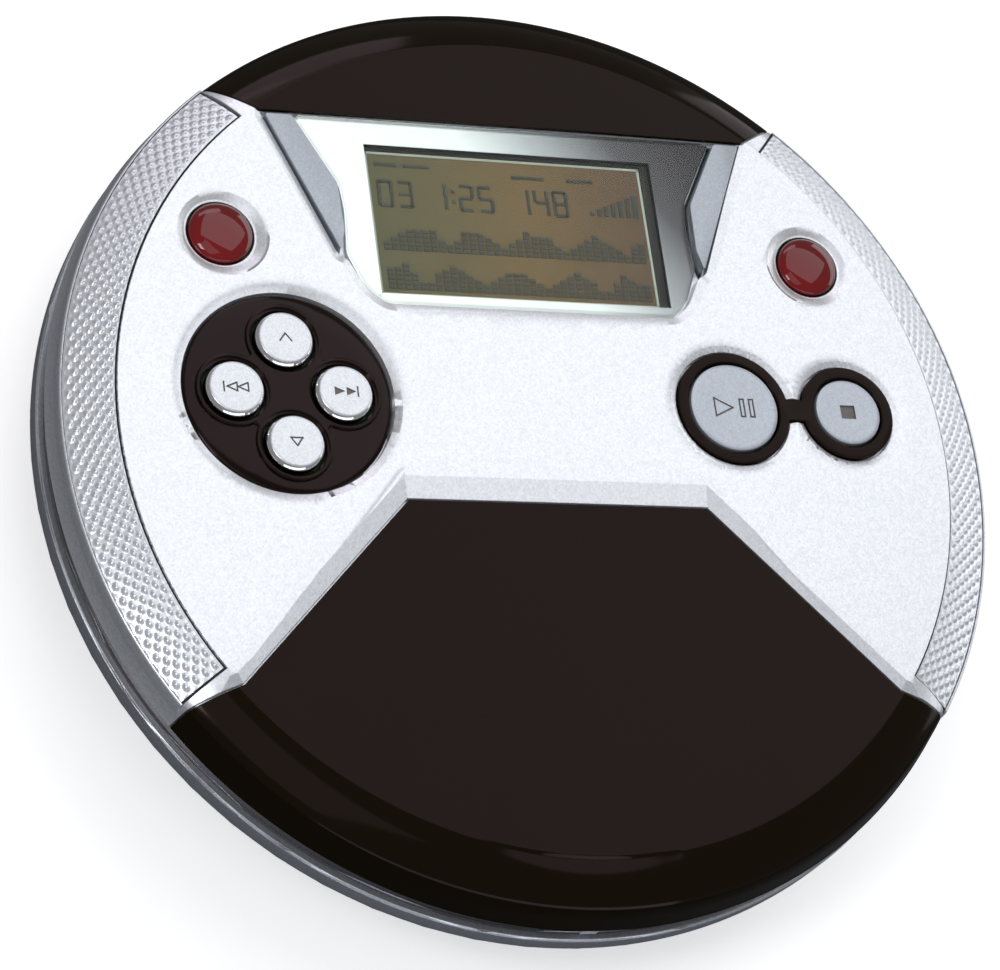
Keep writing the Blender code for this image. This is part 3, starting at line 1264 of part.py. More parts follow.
def lid_shell(coat):
    bm = bmesh.new()
    line = lid_skin(0.0) + [(LID_R - LID_WALL, LID_BOTTOM_Z)]
    line += [(ROOF_EDGE_R, ROOF_UNDER_Z - ROOF_EDGE_DROP), (ROOF_BEND_R, ROOF_UNDER_Z - ROOF_BEND_DROP)]
    line += [(ROOF_FLAT_R, ROOF_UNDER_Z), (0.0, ROOF_UNDER_Z)]
    lathe(bm, line, RING_STEPS)
    shell = solid("lid_shell", bm, coat)

    # seats of the two dark panels
    for name, outline, sink in (("front", front_outline, FRONT_SINK), ("rear", rear_outline, REAR_SINK)):
        bm = bmesh.new()
        inner = inner_skin(sink, PANEL_T + PANEL_SEAT)
        high = LID_TOP_Z + OVERSHOOT
        far = LID_R + OVERSHOOT
        low = LID_BOTTOM_Z - OVERSHOOT
        line = inner + [(inner[-1][0], low), (far, low), (far, high), (0.0, high)]
        lathe(bm, line, RING_STEPS)
        seat = tool(name + "_panel_seat", bm)
        bm = bmesh.new()
        prism(bm, outline(GAP), low - OVERSHOOT, high + OVERSHOOT)
        keep(seat, name + "_panel_bounds", bm)
        combine(shell, seat, "DIFFERENCE")
    bm = bmesh.new()
    chain(bm, bevel_sections())
    cut(shell, "front_bevel", bm)

    # strips for the grips, and room for the hinge
    bm = bmesh.new()
    for side in (0.0, 180.0):
        start = math.radians(side + (GRIP_FRONT_DEG if side == 0.0 else -GRIP_REAR_DEG))
        turn = math.radians(GRIP_REAR_DEG - GRIP_FRONT_DEG)
        slack = GAP / CREST_R
        line = grip_profile(GRIP_T + GAP, LID_R + OVERSHOOT, 0.0)
        line[0] = (line[0][0] - GAP, line[0][1])
        high = LID_TOP_Z + OVERSHOOT
        line = line[:2] + [(LID_R + OVERSHOOT, high), (GRIP_INNER_R - GAP, high)]
        lathe(bm, line, GRIP_STEPS, None, start - slack, turn + slack * 2)
    half = HINGE_CUT_HALF_X
    low = LID_BOTTOM_Z - OVERSHOOT
    block(bm, -half, half, HINGE_CUT_Y, LID_R + OVERSHOOT, low, LID_BOTTOM_Z + RELIEF_H)
    cut(shell, "grip_seats", bm)

    # pockets from above, then holes right through
    high = LID_TOP_Z + OVERSHOOT
    low = ROOF_UNDER_Z - OVERSHOOT
    bm = bmesh.new()
    prism(bm, window_outline(PLAY), POCKET_FLOOR_Z, high)
    post(bm, DPAD_X, DPAD_Y, DPAD_R + PLAY, POCKET_FLOOR_Z, high, HOLE_STEPS * 2)
    prism(bm, bridge_outline(PLAY), POCKET_FLOOR_Z, high)
    cut(shell, "lid_pockets", bm)
    bm = bmesh.new()
    half = LCD_HALF_X + PLAY
    block(bm, -half, half, LCD_FRONT_Y - PLAY, LCD_REAR_Y + PLAY, low, high)
    post(bm, DPAD_X, DPAD_Y, DPAD_R - DPAD_LEDGE, low, high, HOLE_STEPS * 2)
    post(bm, PLAY_X, PLAY_Y, PLAY_KEY_R + PLAY_KEY_FLANGE + PLAY, low, high)
    post(bm, STOP_X, STOP_Y, STOP_KEY_R + PLAY_KEY_FLANGE + PLAY, low, high)
    for side in (1, -1):
        prism(bm, long_key_outline(side, PLAY), low, high)
        place = Matrix.Translation((side * DOME_KEY_X, DOME_KEY_Y, 0.0))
        hole_r = DOME_KEY_R + PLAY
        wide_r = hole_r + DOME_KEY_FLANGE
        rim_z = dome_z(DOME_KEY_X, DOME_KEY_Y)
        dish_z = rim_z - DOME_DISH_DEPTH
        dish_r = DOME_DISH_R + OVERSHOOT * (DOME_DISH_R - hole_r) / DOME_DISH_DEPTH
        line = [(0.0, low), (wide_r, low), (wide_r, DOME_COUNTERBORE_Z), (hole_r, DOME_COUNTERBORE_Z)]
        line += [(hole_r, dish_z), (dish_r, rim_z + OVERSHOOT), (0.0, rim_z + OVERSHOOT)]
        lathe(bm, line, HOLE_STEPS, place)
    cut(shell, "lid_holes", bm)

    # knuckles and the boss over the lid switch
    bm = bmesh.new()
    for side in (1, -1):
        ends = (side * LID_KNUCKLE_IN_X, side * LID_KNUCKLE_OUT_X)
        knuckle(bm, *ends, LID_ARM_TOP_Z)
    x, y = polar(LID_PIN_RING_R, LID_PIN_DEG)
    boss_z = BELT_TOP_Z + LID_PIN_PROUD + GAP
    boss_top = ROOF_UNDER_Z - (ROOF_BEND_DROP + ROOF_EDGE_DROP) / 2
    post(bm, x, y, LID_BOSS_R, boss_z, boss_top, PIN_STEPS)
    join(shell, "lid_knuckles", bm)
    bm = bmesh.new()
    hinge_bore(bm)
    cut(shell, "lid_hinge_bore", bm)
    return shell


def panel(name, outline, sink, coat):
    bm = bmesh.new()
    lathe(bm, lid_skin(sink) + inner_skin(sink, PANEL_T)[::-1], RING_STEPS)
    made = solid(name, bm, coat)
    bm = bmesh.new()
    prism(bm, outline(0.0), LID_BOTTOM_Z - OVERSHOOT, LID_TOP_Z + OVERSHOOT)
    keep(made, name + "_bounds", bm)
    return made


def rear_panel(coat):
    made = panel("rear_panel", rear_outline, REAR_SINK, coat)
    bm = bmesh.new()
    half = HINGE_CUT_HALF_X
    low = LID_BOTTOM_Z - OVERSHOOT
    block(bm, -half, half, HINGE_CUT_Y, LID_R + OVERSHOOT, low, LID_BOTTOM_Z + RELIEF_H)
    cut(made, "rear_panel_relief", bm)
    return made


def grip(name, side, coat):
    bm = bmesh.new()
    start = math.radians(GRIP_FRONT_DEG if side > 0 else 180.0 - GRIP_REAR_DEG)
    turn = math.radians(GRIP_REAR_DEG - GRIP_FRONT_DEG)
    lathe(bm, grip_profile(GRIP_T, GRIP_OUTER_R, 0.0), GRIP_STEPS, None, start, turn)
    return solid(name, bm, coat)


def lid_liner(coat):
    bm = bmesh.new()
    ring_top = ROOF_UNDER_Z - GAP
    outer = ROOF_FLAT_R - GAP
    inner = outer - LID_WALL
    line = [(0.0, LINER_UNDER_Z), (outer, LINER_UNDER_Z), (outer, ring_top)]
    lathe(bm, line + [(inner, ring_top), (inner, LINER_TOP_Z), (0.0, LINER_TOP_Z)], RING_STEPS)
    made = solid("lid_liner", bm, coat)
    bm = bmesh.new()
    half = HOOK_HALF_X
    profile = [(HOOK_REAR_Y, HOOK_BOTTOM_Z), (HOOK_REAR_Y, LINER_UNDER_Z)]
    profile += [(-inner, LINER_UNDER_Z), (-inner, LINER_TOP_Z), (HOOK_FRONT_Y, LINER_TOP_Z)]
    profile += [(HOOK_FRONT_Y, HOOK_BOTTOM_Z + TOOTH_H), (TOOTH_FRONT_Y, HOOK_BOTTOM_Z + TOOTH_H)]
    profile += [(TOOTH_FRONT_Y, HOOK_BOTTOM_Z)]
    loft(bm, [(-half, y, z) for y, z in profile], [(half, y, z) for y, z in profile])
    join(made, "latch_hook", bm)
    return made


def key_board(coat):
    bm = bmesh.new()
    radius = ROOF_FLAT_R - LID_WALL - GAP * 2
    front = math.degrees(math.asin(FRONT_Y_SHARES[0] * CREST_R / radius))
    outline = arc(0.0, 0.0, radius, front, HALF_TURN - front, RING_STEPS // 2)
    prism(bm, outline, KEY_BOARD_UNDER_Z, KEY_BOARD_TOP_Z)
    return solid("key_board", bm, coat)


def lcd_window(coat):
    bm = bmesh.new()
    outline = window_outline(0.0)
    upper = [(x, y, dome_z(x, y) - WINDOW_SINK) for x, y in outline]
    loft(bm, [(x, y, WINDOW_UNDER_Z) for x, y in outline], upper)
    return solid("lcd_window", bm, coat)


def lcd_frame(coat):
    bm = bmesh.new()
    outline = window_outline(0.0)
    bottom = POCKET_FLOOR_Z + PANEL_SEAT
    top = WINDOW_UNDER_Z - PANEL_SEAT
    prism(bm, outline, bottom, top)
    made = solid("lcd_frame", bm, coat)
    bm = bmesh.new()
    half = LCD_HALF_X + PLAY
    ys = (LCD_FRONT_Y - PLAY, LCD_REAR_Y + PLAY)
    block(bm, -half, half, *ys, bottom - OVERSHOOT, top + OVERSHOOT)
    cut(made, "frame_opening", bm)
    return made


def lcd_panel(coat):
    bm = bmesh.new()
    levels = (KEY_BOARD_TOP_Z + GAP, WINDOW_UNDER_Z - PANEL_SEAT)
    block(bm, -LCD_HALF_X, LCD_HALF_X, LCD_FRONT_Y, LCD_REAR_Y, *levels)
    return solid("lcd_panel", bm, coat)


def dpad_bezel(coat):
    bm = bmesh.new()
    post(bm, DPAD_X, DPAD_Y, DPAD_R, DPAD_TOP_Z - DPAD_T, DPAD_TOP_Z, HOLE_STEPS * 2)
    made = solid("dpad_bezel", bm, coat)
    bm = bmesh.new()
    prism(bm, clover_outline(), DPAD_TOP_Z - DPAD_T / 2, DPAD_TOP_Z + COLLAR_H)
    join(made, "clover_collar", bm)
    bm = bmesh.new()
    for dx, dy in dpad_spots():
        low = DPAD_TOP_Z - DPAD_T - OVERSHOOT
        high = DPAD_TOP_Z + COLLAR_H + OVERSHOOT
        post(bm, DPAD_X + dx, DPAD_Y + dy, DPAD_KEY_R + PLAY, low, high)
    cut(made, "dpad_key_holes", bm)
    return made


def play_stop_bezel(coat):
    bm = bmesh.new()
    prism(bm, bridge_outline(0.0), PLAY_BEZEL_TOP_Z - PLAY_BEZEL_T, PLAY_BEZEL_TOP_Z)
    made = solid("play_stop_bezel", bm, coat)
    bm = bmesh.new()
    low = PLAY_BEZEL_TOP_Z - PLAY_BEZEL_T - OVERSHOOT
    high = PLAY_BEZEL_TOP_Z + OVERSHOOT
    post(bm, PLAY_X, PLAY_Y, PLAY_KEY_R + PLAY, low, high)
    post(bm, STOP_X, STOP_Y, STOP_KEY_R + PLAY, low, high)
    cut(made, "play_stop_holes", bm)
    return made


def round_key(name, x, y, radius, face_r, flange, top, coat):
    bm = bmesh.new()
    bottom = KEY_BOARD_TOP_Z + KEY_FLOAT
    flange_top = bottom + KEY_FLANGE_T
    wide = radius + flange
    line = [(0.0, bottom), (wide, bottom), (wide, flange_top), (radius, flange_top)]
    line += [(radius, top - KEY_EDGE), (face_r, top), (0.0, top)]
    lathe(bm, line, HOLE_STEPS, Matrix.Translation((x, y, 0.0)))
    return solid(name, bm, coat, (x, y, bottom))


def dome_key(name, side, coat):
    bm = bmesh.new()
    bottom = KEY_BOARD_TOP_Z + KEY_FLOAT
    flange_top = bottom + KEY_FLANGE_T
    wide = DOME_KEY_R + DOME_KEY_FLANGE
    line = [(0.0, bottom), (wide, bottom), (wide, flange_top), (DOME_KEY_R, flange_top)]
    for share in (0.0, 0.25, 0.5, 0.75, 1.0):
        angle = share * math.pi / 2
        height = DOME_KEY_EDGE_Z + DOME_KEY_H * math.sin(angle)
        line.append((DOME_KEY_R * math.cos(angle) if share < 1 else 0.0, height))
    place = Matrix.Translation((side * DOME_KEY_X, DOME_KEY_Y, 0.0))
    lathe(bm, line, HOLE_STEPS, place)
    return solid(name, bm, coat, (side * DOME_KEY_X, DOME_KEY_Y, bottom))


def long_key(name, side, coat):
    bm = bmesh.new()
    outline = long_key_outline(side, 0.0)
    bottom = KEY_BOARD_TOP_Z + KEY_FLOAT
    upper = [(x, y, dome_z(x, y) + LONG_KEY_PROUD) for x, y in outline]
    loft(bm, [(x, y, bottom) for x, y in outline], upper)
    made = solid(name, bm, coat)
    return made


def hinge_pin(coat):
    bm = bmesh.new()
    half = BASE_KNUCKLE_OUT_X - GAP
    line = [(0.0, -half), (HINGE_PIN_R, -half), (HINGE_PIN_R, half), (0.0, half)]
    lathe(bm, line, PIN_STEPS, along_x(0.0, HINGE_Y, HINGE_Z))
    return solid("hinge_pin", bm, coat)


# Putting it together


def clear_scene():
    for left in list(bpy.data.objects):
        bpy.data.objects.remove(left, do_unlink=True)


def build_base():
    silver = material("base_silver", (0.62, 0.63, 0.65), 0.3, 0.35)
    dark = material("belt_dark", (0.03, 0.03, 0.04), 0.0, 0.25)
    steel = material("chassis_steel", (0.55, 0.56, 0.58), 1.0, 0.35)
    rubber = material("foot_rubber", (0.03, 0.03, 0.03), 0.0, 0.9)
    board = material("board_green", (0.03, 0.16, 0.07), 0.0, 0.5)
    black = material("black_plastic", (0.02, 0.02, 0.02), 0.0, 0.5)
    white = material("hub_white", (0.75, 0.75, 0.72), 0.0, 0.4)
    jacket = material("cell_jacket", (0.10, 0.14, 0.30), 0.0, 0.4)
    nickel = material("nickel", (0.70, 0.68, 0.62), 1.0, 0.3)
    glass = material("lens_glass", (0.45, 0.55, 0.75), 0.0, 0.05, 0.6)

    base_shell(silver)
    battery_door(silver)
    rear_y = CELL_FRONT_Y + CELL_PITCH
    cell("aa_cell_front", CELL_FRONT_Y, -1, jacket)
    cell("aa_cell_rear", rear_y, 1, jacket)
    contact("battery_bridge", -1, [CELL_FRONT_Y, rear_y], nickel)
    contact("battery_spring_contact", 1, [CELL_FRONT_Y], nickel)
    contact("battery_plus_contact", 1, [rear_y], nickel)
    corners = ("rear_right", "rear_left", "front_right", "front_left")
    for corner, (x, y) in zip(corners, foot_spots()):
        rubber_foot("rubber_foot_" + corner, x, y, rubber)
    for corner, (x, y) in zip(corners, screw_spots()):
        case_screw("case_screw_" + corner, x, y, steel)

    mid_frame(dark)
    open_slider(silver)
    hold_switch(black)
    lid_switch_pin(white)

    mech_chassis(steel)
    for place, x, y in zip(("front", "rear", "left"), BUSH_XS, BUSH_YS):
        damper_bush("damper_bush_" + place, x, y, rubber)
    spindle_motor(steel)
    spindle_shaft(nickel)
    turntable_hub(white)
    guide_rod("guide_rod_front", -1, nickel)
    guide_rod("guide_rod_rear", 1, nickel)
    laser_sled(black)
    lens_holder(black)
    objective_lens(glass)
    feed_motor(steel)
    feed_screw(nickel)
    main_board(board)
    for name, degrees, bore_r in zip(("phones_jack", "line_jack", "dc_jack"), SOCKET_DEGS, SOCKET_BORES):
        socket(name, degrees, bore_r, name == "dc_jack", black)


def build_lid():
    silver = material("lid_silver", (0.72, 0.73, 0.75), 0.3, 0.35)
    gloss = material("panel_gloss", (0.02, 0.018, 0.016), 0.0, 0.08)
    knurl = material("grip_silver", (0.80, 0.80, 0.81), 0.2, 0.4)
    clear = material("clear_window", (0.9, 0.92, 0.9), 0.0, 0.03, 1.0)
    surround = material("window_surround", (0.6, 0.6, 0.62), 0.4, 0.3)
    lcd = material("lcd_amber", (0.22, 0.20, 0.08), 0.0, 0.3)
    board = material("key_board_green", (0.03, 0.16, 0.07), 0.0, 0.5)
    liner = material("liner_grey", (0.35, 0.36, 0.38), 0.0, 0.5)
    key = material("key_silver", (0.78, 0.78, 0.78), 0.3, 0.3)
    red = material("dome_red", (0.25, 0.01, 0.03), 0.0, 0.1)
    steel = material("hinge_steel", (0.6, 0.6, 0.6), 1.0, 0.3)

    lid_shell(silver)
    lid_liner(liner)
    hinge_pin(steel)
    panel("front_panel", front_outline, FRONT_SINK, gloss)
    rear_panel(gloss)
    grip("grip_right", 1, knurl)
    grip("grip_left", -1, knurl)
    lcd_window(clear)
    lcd_frame(surround)
    lcd_panel(lcd)
    key_board(board)
    dpad_bezel(gloss)
    play_stop_bezel(gloss)

    for name, (dx, dy) in zip(("up_key", "previous_key", "next_key", "down_key"), dpad_spots()):
        sizes = (DPAD_KEY_R, DPAD_FACE_R, DPAD_KEY_FLANGE, DPAD_KEY_TOP_Z)
        round_key(name, DPAD_X + dx, DPAD_Y + dy, *sizes, key)
    play_face = PLAY_KEY_R - KEY_EDGE
    stop_face = STOP_KEY_R - KEY_EDGE
    flange = PLAY_KEY_FLANGE
    round_key("play_pause_key", PLAY_X, PLAY_Y, PLAY_KEY_R, play_face, flange, PLAY_KEY_TOP_Z, key)
    round_key("stop_key", STOP_X, STOP_Y, STOP_KEY_R, stop_face, flange, PLAY_KEY_TOP_Z, key)
    dome_key("right_dome_key", 1, red)
    dome_key("left_dome_key", -1, red)
    long_key("mode_key", 1, key)
    long_key("display_key", -1, key)


clear_scene()
build_base()
build_lid()
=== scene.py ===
import math
import random

import bmesh
import bpy
from mathutils import Matrix, Vector


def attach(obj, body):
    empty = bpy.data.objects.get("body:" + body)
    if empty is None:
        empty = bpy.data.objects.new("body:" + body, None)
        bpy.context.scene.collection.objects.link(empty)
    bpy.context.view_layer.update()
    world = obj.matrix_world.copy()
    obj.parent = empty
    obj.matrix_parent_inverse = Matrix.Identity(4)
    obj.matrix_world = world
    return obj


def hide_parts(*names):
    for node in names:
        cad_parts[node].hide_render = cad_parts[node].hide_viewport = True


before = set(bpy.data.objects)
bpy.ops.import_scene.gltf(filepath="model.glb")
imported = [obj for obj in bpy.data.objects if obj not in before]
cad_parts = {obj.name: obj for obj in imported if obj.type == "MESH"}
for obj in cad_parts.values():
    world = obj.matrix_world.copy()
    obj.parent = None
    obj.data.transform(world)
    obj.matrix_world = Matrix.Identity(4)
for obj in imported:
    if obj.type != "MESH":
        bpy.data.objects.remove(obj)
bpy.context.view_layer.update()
mm = 0.001

print("stage: camera, light and floor")

view = {
    "place": (-0.1830, -0.1931, 0.4290),
    "right": (0.92951, -0.12436, 0.34721),
    "up": (-0.02998, 0.91284, 0.40721),
    "back": (-0.36759, -0.38892, 0.84476),
    "lens": 130.24,  # mm on a 36 mm sensor
}


def linked(name, data):
    # a new object in the scene
    obj = bpy.data.objects.new(name, data)
    bpy.context.scene.collection.objects.link(obj)
    return obj


cameraData = bpy.data.cameras.new("camera")
cameraData.lens = view["lens"]
cameraData.sensor_width = 36
cameraData.clip_start = 0.01
camera = linked("camera", cameraData)
turn = Matrix((view["right"], view["up"], view["back"])).transposed().to_4x4()
camera.matrix_world = Matrix.Translation(view["place"]) @ turn
bpy.context.scene.camera = camera
bpy.context.scene.view_settings.view_transform = "Standard"


def toLinear(hexColour):
    channels = [int(hexColour[at : at + 2], 16) / 255 for at in (1, 3, 5)]
    return [c / 12.92 if c <= 0.04045 else ((c + 0.055) / 1.055) ** 2.4 for c in channels] + [1.0]


def addNode(tree, kind, settings=None, links=None):
    # settings name an input or a property, links name an input and the socket that feeds it
    node = tree.nodes.new(kind)
    for key, value in (settings or {}).items():
        if isinstance(key, int) or key in node.inputs:
            node.inputs[key].default_value = value
        else:
            setattr(node, key, value)
    for key, socket in (links or {}).items():
        tree.links.new(socket, node.inputs[key])
    return node


def newMaterial(name, settings):
    made = bpy.data.materials.new(name)
    made.use_nodes = True
    tree = made.node_tree
    shader = tree.nodes["Principled BSDF"]
    for key, value in settings.items():
        shader.inputs[key].default_value = value
    spot = addNode(tree, "ShaderNodeTexCoord").outputs["Object"]
    return made, tree, shader, spot


def colourAlong(tree, shader, source, stops, interpolation="LINEAR"):
    # base colour that runs through stops of (place, linear colour) as the source goes from 0 to 1
    tone = addNode(tree, "ShaderNodeValToRGB", None, {0: source})
    tone.color_ramp.interpolation = interpolation
    (_, lowColour), *between, (lastPlace, highColour) = stops
    low, high = tone.color_ramp.elements
    low.color = lowColour
    high.color = highColour
    high.position = lastPlace
    for place, colour in between:
        tone.color_ramp.elements.new(place).color = colour
    tree.links.new(tone.outputs[0], shader.inputs["Base Color"])


def mottled(tree, shader, source, hexColour, darker, lighter):
    # a texture takes one colour from a darker to a lighter tone of itself
    base = toLinear(hexColour)[:3]
    tones = [[min(1.0, c * factor) for c in base] + [1.0] for factor in (darker, lighter)]
    colourAlong(tree, shader, source, [(0.0, tones[0]), (1.0, tones[1])])


studio = {
    "worldGlow": 0.26,
    "floorTone": "#5A5C60",  # what the object sees of the floor; the camera sees it white
    "floorGlow": 0.45,
    "aim": (0, 0, 0.015),
    "boxes": {
        # azimuth and elevation in degrees, distance and size in m, radiance where white is 1
        "skyBox": (62, 60, 0.95, (0.95, 0.80), 1.22, "#FBFCFF"),
        "overheadBox": (215, 72, 0.90, (0.50, 0.50), 0.75, "#FBFCFF"),
        "keyBox": (196, 50, 0.60, (0.16, 0.16), 8.0, "#FFFFFF"),
        "rearBox": (92, 31, 0.85, (0.45, 0.16), 2.0, "#F3E6F2"),
        "horizonBox": (24, 14, 1.00, (1.10, 0.38), 1.7, "#FFFFFF"),
        "frontBox": (272, 13, 0.90, (1.10, 0.28), 2.2, "#F2F5FF"),
    },
}


def softBox(name, azimuth, elevation, distance, size, radiance, colour):
    data = bpy.data.lights.new(name, "AREA")
    data.shape = "RECTANGLE"
    data.size, data.size_y = size
    data.energy = radiance * math.pi * size[0] * size[1]
    data.color = toLinear(colour)[:3]
    lamp = linked(name, data)
    flat = math.cos(math.radians(elevation)) * distance
    height = distance * math.sin(math.radians(elevation))
    turnAngle = math.radians(azimuth)
    lamp.location = (flat * math.cos(turnAngle), flat * math.sin(turnAngle), height)
    lamp.rotation_euler = (Vector(studio["aim"]) - lamp.location).to_track_quat("-Z", "Y").to_euler()
    return lamp


for boxName, values in studio["boxes"].items():
    softBox(boxName, *values)

world = bpy.data.worlds.new("studio")
bpy.context.scene.world = world
world.use_nodes = True
worldTree = world.node_tree
worldTree.nodes.clear()
ray = addNode(worldTree, "ShaderNodeLightPath").outputs
rays = {0: ray["Is Camera Ray"], 1: ray["Is Transmission Ray"]}
seen = addNode(worldTree, "ShaderNodeMath", {"operation": "MAXIMUM"}, rays)
glow = addNode(worldTree, "ShaderNodeBackground", {"Color": (1, 1, 1, 1), "Strength": studio["worldGlow"]})
white = addNode(worldTree, "ShaderNodeBackground", {"Color": (1, 1, 1, 1), "Strength": 1.0})
either = {0: seen.outputs[0], 1: glow.outputs[0], 2: white.outputs[0]}
blend = addNode(worldTree, "ShaderNodeMixShader", None, either)
addNode(worldTree, "ShaderNodeOutputWorld", None, {"Surface": blend.outputs[0]})

bpy.ops.object.select_all(action="DESELECT")
bpy.ops.mesh.primitive_plane_add(size=6.0, location=(0, 0, -0.00002))
floor = bpy.context.object
floor.name = "floor"
paper = {"Base Color": toLinear("#F7F7F8"), "Roughness": 0.9, "Specular IOR Level": 0.1}
floorPaint, floorTree, floorShader, _ = newMaterial("paperSweep", paper)
floorRay = addNode(floorTree, "ShaderNodeLightPath").outputs["Is Camera Ray"]
floorGlow = addNode(floorTree, "ShaderNodeEmission", {"Color": (1, 1, 1, 1), "Strength": studio["floorGlow"]})
floorDark = addNode(floorTree, "ShaderNodeBsdfDiffuse", {"Color": toLinear(studio["floorTone"])})
floorSum = addNode(floorTree, "ShaderNodeAddShader", None, {0: floorShader.outputs[0], 1: floorGlow.outputs[0]})
either = {0: floorRay, 1: floorDark.outputs[0], 2: floorSum.outputs[0]}
floorMix = addNode(floorTree, "ShaderNodeMixShader", None, either)
floorTree.links.new(floorMix.outputs[0], floorTree.nodes["Material Output"].inputs["Surface"])
floor.data.materials.append(floorPaint)

print("stage: materials")


def roundedNormal(tree, shader, radius, bump=None):
    # soft edge on moulded parts, with an optional bump over it
    edge = addNode(tree, "ShaderNodeBevel", {"samples": 4, "Radius": radius})
    if bump:
        tree.links.new(edge.outputs[0], bump.inputs["Normal"])
        tree.links.new(bump.outputs[0], shader.inputs["Normal"])
    else:
        tree.links.new(edge.outputs[0], shader.inputs["Normal"])


def lacquer(name, hexColour, metallic, roughness, flake=0.25, edge=0.15):
    # silver lacquer over moulded ABS, sprayed: a fine metal flake that glitters in soft light
    gloss = {"Metallic": metallic, "Roughness": roughness, "Coat Weight": 0.25, "Coat Roughness": 0.12}
    made, tree, shader, spot = newMaterial(name, gloss)
    grain = addNode(tree, "ShaderNodeTexVoronoi", {"Scale": 1000 / flake}, {"Vector": spot})
    mottled(tree, shader, grain.outputs["Color"], hexColour, 0.86, 1.10)
    peel = addNode(tree, "ShaderNodeTexNoise", {"Scale": 1000 / (flake * 2), "Detail": 3.0}, {"Vector": spot})
    bump = addNode(tree, "ShaderNodeBump", {"Strength": 0.12, "Distance": 0.00006}, {"Height": peel.outputs[0]})
    roundedNormal(tree, shader, edge * mm, bump)
    return made


def pianoGloss(name, hexColour, specular=0.3, edge=0.2):
    # brown-black ABS, moulded against a polished die: deep gloss with a violet cast in its reflections
    gloss = {"Roughness": 0.09, "Specular IOR Level": specular, "Specular Tint": (0.95, 0.66, 0.72, 1.0)}
    made, tree, shader, spot = newMaterial(name, gloss)
    haze = addNode(tree, "ShaderNodeTexNoise", {"Scale": 60.0, "Detail": 2.0}, {"Vector": spot})
    mottled(tree, shader, haze.outputs[0], hexColour, 0.85, 1.15)
    roundedNormal(tree, shader, edge * mm)
    return made


def mouldedPlastic(name, hexColour, roughness=0.45, grainSize=0.3, strength=0.15, edge=0.12):
    # spark-eroded ABS: even colour, fine grain that breaks the highlight
    made, tree, shader, spot = newMaterial(name, {"Roughness": roughness})
    grain = addNode(tree, "ShaderNodeTexNoise", {"Scale": 1000 / grainSize, "Detail": 3.0}, {"Vector": spot})
    mottled(tree, shader, grain.outputs[0], hexColour, 0.88, 1.10)
    relief = {"Strength": strength, "Distance": 0.00005}
    bump = addNode(tree, "ShaderNodeBump", relief, {"Height": grain.outputs[0]})
    roundedNormal(tree, shader, edge * mm, bump)
    return made


def plainMetal(name, hexColour, roughness=0.3, edge=0.08):
    # rolled or ground steel: a fine even grain under a sharp highlight
    made, tree, shader, spot = newMaterial(name, {"Metallic": 1.0, "Roughness": roughness})
    grain = addNode(tree, "ShaderNodeTexNoise", {"Scale": 2500.0, "Detail": 4.0}, {"Vector": spot})
    mottled(tree, shader, grain.outputs[0], hexColour, 0.8, 1.12)
    relief = {"Strength": 0.08, "Distance": 0.00003}
    bump = addNode(tree, "ShaderNodeBump", relief, {"Height": grain.outputs[0]})
    roundedNormal(tree, shader, edge * mm, bump)
    return made


lidSilver = lacquer("silverLacquer", "#E9ECF1", 0.72, 0.35)
keySilver = lacquer("keyLacquer", "#DDE0E5", 0.6, 0.32, flake=0.2, edge=0.12)
playSilver = lacquer("playKeyLacquer", "#B2B9C2", 0.6, 0.34, flake=0.2, edge=0.12)
# a darker copy of the silver lacquer for the long side keys: painted shade
barShadedSilver = lacquer("longKeyShadedLacquer", "#A9AFB7", 0.6, 0.34, flake=0.22, edge=0.2)
baseSilver = lacquer("baseLacquer", "#C9CDD4", 0.8, 0.34, flake=0.3)
gripSilver = lacquer("gripLacquer", "#E6E9EF", 0.62, 0.32, flake=0.3, edge=0.05)
panelGloss = pianoGloss("pianoBlackAbs", "#140F05", specular=0.12)
discGloss = pianoGloss("padBlackAbs", "#120D06", specular=0.2)
beltGraphite = pianoGloss("graphiteAbs", "#15141A", specular=0.5)
# near-black plastic for painted shade: the gaps under the grips and the display well
paintedShadeBlack = mouldedPlastic("seamPaintedShade", "#0B0A0A", 0.6)
blackPlastic = mouldedPlastic("blackAbs", "#17171A", 0.45)
greyPlastic = mouldedPlastic("greyAbs", "#5B5E63", 0.5)
whiteAcetal = mouldedPlastic("whiteAcetal", "#D9D8D2", 0.35, 0.5, 0.05)
rubberBlack = mouldedPlastic("rubberBlack", "#1B1B1C", 0.85, 0.4, 0.4)
# darker grey inside the engraved icons: painted shade in the grooves
iconPaintedShade = mouldedPlastic("engravingPaintedShade", "#6E6A66", 0.5)
zincSteel = plainMetal("zincSteel", "#B4B6B9", 0.35)
brightNickel = plainMetal("brightNickel", "#D8D4C8", 0.18)
chromeRing = plainMetal("chromePlate", "#E8E9EC", 0.08)


def selectNothing():
    bpy.ops.object.select_all(action="DESELECT")


def makeActive(obj):
    selectNothing()
    obj.select_set(True)
    bpy.context.view_layer.objects.active = obj


def outlinePlate(name, outline, bottom, top, upper=None):
    # a filled ring of points raised into a plate; bottom and top are heights or one height per point
    selectNothing()
    bpy.ops.mesh.primitive_circle_add(vertices=len(outline), radius=0.01, fill_type="NGON")
    obj = bpy.context.object
    obj.name = name
    obj.location = (0, 0, 0)
    count = len(outline)
    lows = bottom if isinstance(bottom, list) else [bottom] * count
    highs = top if isinstance(top, list) else [top] * count
    bpy.ops.object.mode_set(mode="EDIT")
    bpy.ops.mesh.select_all(action="SELECT")
    bpy.ops.mesh.extrude_region_move(TRANSFORM_OT_translate={"value": (0, 0, 0.001)})
    bpy.ops.object.mode_set(mode="OBJECT")
    ends = upper or outline
    for at in range(count):
        obj.data.vertices[at].co = (outline[at][0] * mm, outline[at][1] * mm, lows[at] * mm)
        obj.data.vertices[at + count].co = (ends[at][0] * mm, ends[at][1] * mm, highs[at] * mm)
    tidyNormals(obj)
    return obj


